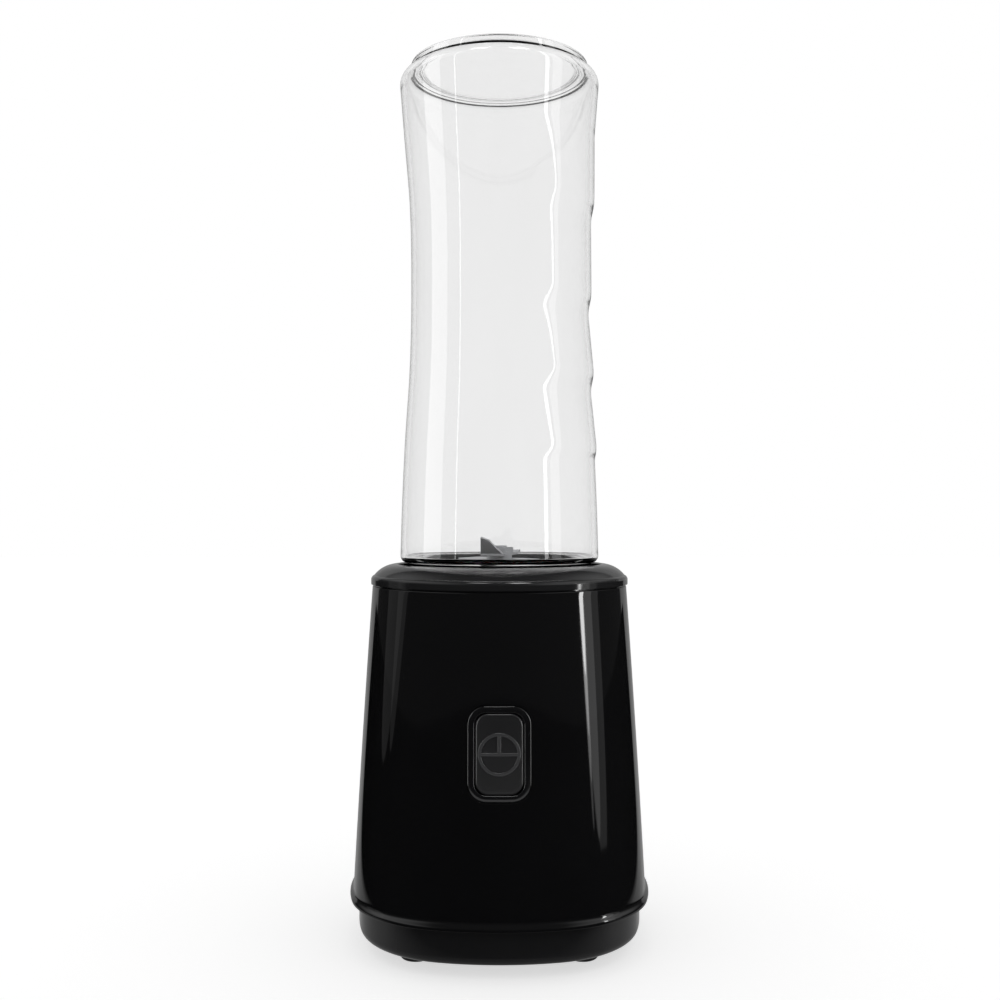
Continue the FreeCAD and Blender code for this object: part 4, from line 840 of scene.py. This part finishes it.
def make_floor():
    """A pale matt sheet. It glows by 0.62 to the camera, so that lit paper reads white and a shadow stays.

    Through glass it is plain white. Reflections see only a painted reflection: it glows 0.35 to them behind
    y = -0.06, where x^2 < 0.15^2 + (0.75 y)^2 in metres, and outside this painted shade stands in for a flag.
    """
    half = 4.0
    glow_level, painted_reflection_level, painted_wedge_half, painted_wedge_spread = 0.62, 0.35, 0.15, 0.75
    corners = [(-half, -half, 0), (half, -half, 0), (half, half, 0), (-half, half, 0)]
    mesh = bpy.data.meshes.new("floor")
    mesh.from_pydata(corners, [], [(0, 1, 2, 3)])
    made, tree, shader, place = new_finish("pale_matt_paper")
    path = add(tree, "ShaderNodeLightPath")
    way = add(tree, "ShaderNodeSeparateXYZ", {0: place})
    across = add(tree, "ShaderNodeMath", {0: way.outputs["X"]}, operation="ABSOLUTE")
    along = add(tree, "ShaderNodeMath", {0: way.outputs["Y"], 1: painted_wedge_spread}, operation="MULTIPLY")
    sides = add(tree, "ShaderNodeCombineXYZ", {"X": painted_wedge_half, "Y": along.outputs[0]})
    edge = add(tree, "ShaderNodeVectorMath", {0: sides.outputs[0]}, operation="LENGTH")
    inside = add(tree, "ShaderNodeMath", {0: edge.outputs["Value"], 1: across.outputs[0]},
                 operation="SUBTRACT")
    # What reflections see of the floor is painted: a glow of 0.35 inside a wedge, with painted shade outside
    # it in place of a flag.
    painted_wedge = add(tree, "ShaderNodeMapRange", {
        "Value": inside.outputs[0], "From Min": 0.0, "From Max": 0.02, "To Min": 0.0, "To Max": painted_reflection_level})
    front = add(tree, "ShaderNodeMapRange", {
        "Value": way.outputs["Y"], "From Min": -0.08, "From Max": -0.04, "To Min": 0.0, "To Max": 1.0})
    painted_reflection = add(tree, "ShaderNodeMath", {0: painted_wedge.outputs["Result"], 1: front.outputs["Result"]},
                 operation="MULTIPLY")
    grain = add(tree, "ShaderNodeTexNoise", {"Vector": place, "Scale": 1 / (2.0 * MM)})
    tone = add(tree, "ShaderNodeMix", {0: grain.outputs["Fac"], 6: linear("#f0f0f0"), 7: linear("#f6f6f6")},
               data_type="RGBA")
    tree.links.new(tone.outputs[2], shader.inputs["Base Color"])
    shader.inputs["Roughness"].default_value = 1.0
    shader.inputs["Specular IOR Level"].default_value = 0.0
    glow = add(tree, "ShaderNodeMath", {0: path.outputs["Is Camera Ray"], 1: glow_level},
               operation="MULTIPLY")
    shader.inputs["Emission Color"].default_value = linear("#ffffff")
    tree.links.new(glow.outputs[0], shader.inputs["Emission Strength"])
    passed = through_glass(tree, path)
    level = add(tree, "ShaderNodeMix", {0: passed, 2: painted_reflection.outputs[0], 3: 1.0}, data_type="FLOAT")
    plain = add(tree, "ShaderNodeEmission", {"Color": linear("#ffffff"), "Strength": level.outputs[0]})
    indirect = add(tree, "ShaderNodeMath", {0: path.outputs["Is Glossy Ray"], 1: passed}, operation="MAXIMUM")
    both = add(tree, "ShaderNodeMixShader", {
        0: indirect.outputs[0], 1: shader.outputs[0], 2: plain.outputs[0]})
    out = next(n for n in tree.nodes if n.type == "OUTPUT_MATERIAL")
    tree.links.new(both.outputs[0], out.inputs["Surface"])
    mesh.materials.append(made)
    floor = bpy.data.objects.new("floor", mesh)
    bpy.context.scene.collection.objects.link(floor)


make_world()
make_floor()

MIDDLE = Vector((0, 0, 0.15))
nodes = frame["nodes"]
rest = [*nodes.values(), shell, bezel, key, sign]
# Two small soft lamps high in front give the glints on the dome and the bottle's shoulder.
lamp("high_left", place_at(-28, 0.42, 0.95), MIDDLE, (0.20, 0.20), 6, only=[nodes["top_cover"], bottle])
lamp("high_right", place_at(30, 0.42, 0.95), MIDDLE, (0.20, 0.20), 8, only=[nodes["top_cover"], bottle])
# The base's right side mirrors a narrow leaning lamp that fades and narrows downwards, made of
# ovals one behind the other, and a broad faint pair of ovals behind it.
for name, azimuth, distance, width, low, radiance in (
        ("right_line_low", 72, 0.350, 0.026, 0.01, 0.7), ("right_line_mid", 72, 0.355, 0.026, 0.04, 1.3),
        ("right_line_high", 72, 0.360, 0.026, 0.07, 2.4), ("right_line_top", 72, 0.365, 0.026, 0.11, 8.0),
        ("right_soft", 77, 0.375, 0.08, 0.0, 0.62), ("right_faint", 81, 0.380, 0.14, -0.02, 0.28)):
    strip(name, azimuth, distance, width, (low, 0.37 - low), radiance, roll=-17, only=rest, shape="ELLIPSE")
strip("left_soft", -91, 0.60, 0.14, (0.04, 0.5), 0.14, only=rest, shape="ELLIPSE")
strip("left_faint", -101, 0.62, 0.26, (0.02, 0.5), 0.13, only=rest, shape="ELLIPSE")
# The key, its sign and its ring are small, so they have lamps of their own that draw their edges.
small = [key, sign, bezel]
strip("edge_left", -52, 0.4, 0.13, (0.0, 0.25), 7, only=small)
strip("edge_right", 52, 0.4, 0.13, (0.0, 0.25), 7, only=small)
lamp("edge_top", place_at(0, 0.45, 0.8), MIDDLE, (0.4, 0.25), 8, only=small)
lamp("edge_low", place_at(0, 0.30, 0.005), Vector((0, 0, 0.08)), (0.3, 0.05), 0.9, only=small)
# The bottle mirrors its own lamps: two narrow and two broad.
strip("bottle_line", 54, 0.9, 0.075, (-0.2, 1.2), 5, only=[bottle])
strip("bottle_right", 67, 0.9, 0.20, (-0.2, 1.2), 1.3, only=[bottle])
strip("bottle_thin", -50, 0.9, 0.022, (-0.2, 1.2), 4, only=[bottle])
strip("bottle_left", -82, 0.9, 0.42, (-0.2, 1.2), 1.8, only=[bottle])

# The camera stands half a metre in front and 0.166 m up, and looks up by half a degree.
CAMERA_PLACE = (0.00024, -0.494, 0.1664)
CAMERA_TILT = math.radians(0.557)
CAMERA_LENS = 44.46
CAMERA_SENSOR = 36.0
camera = bpy.data.cameras.new("camera")
camera.lens = CAMERA_LENS
camera.sensor_width = CAMERA_SENSOR
eye = bpy.data.objects.new("camera", camera)
eye.location = CAMERA_PLACE
eye.rotation_euler = (QUARTER + CAMERA_TILT, 0, 0)
bpy.context.scene.collection.objects.link(eye)
bpy.context.scene.camera = eye
bpy.context.scene.view_settings.view_transform = "Standard"
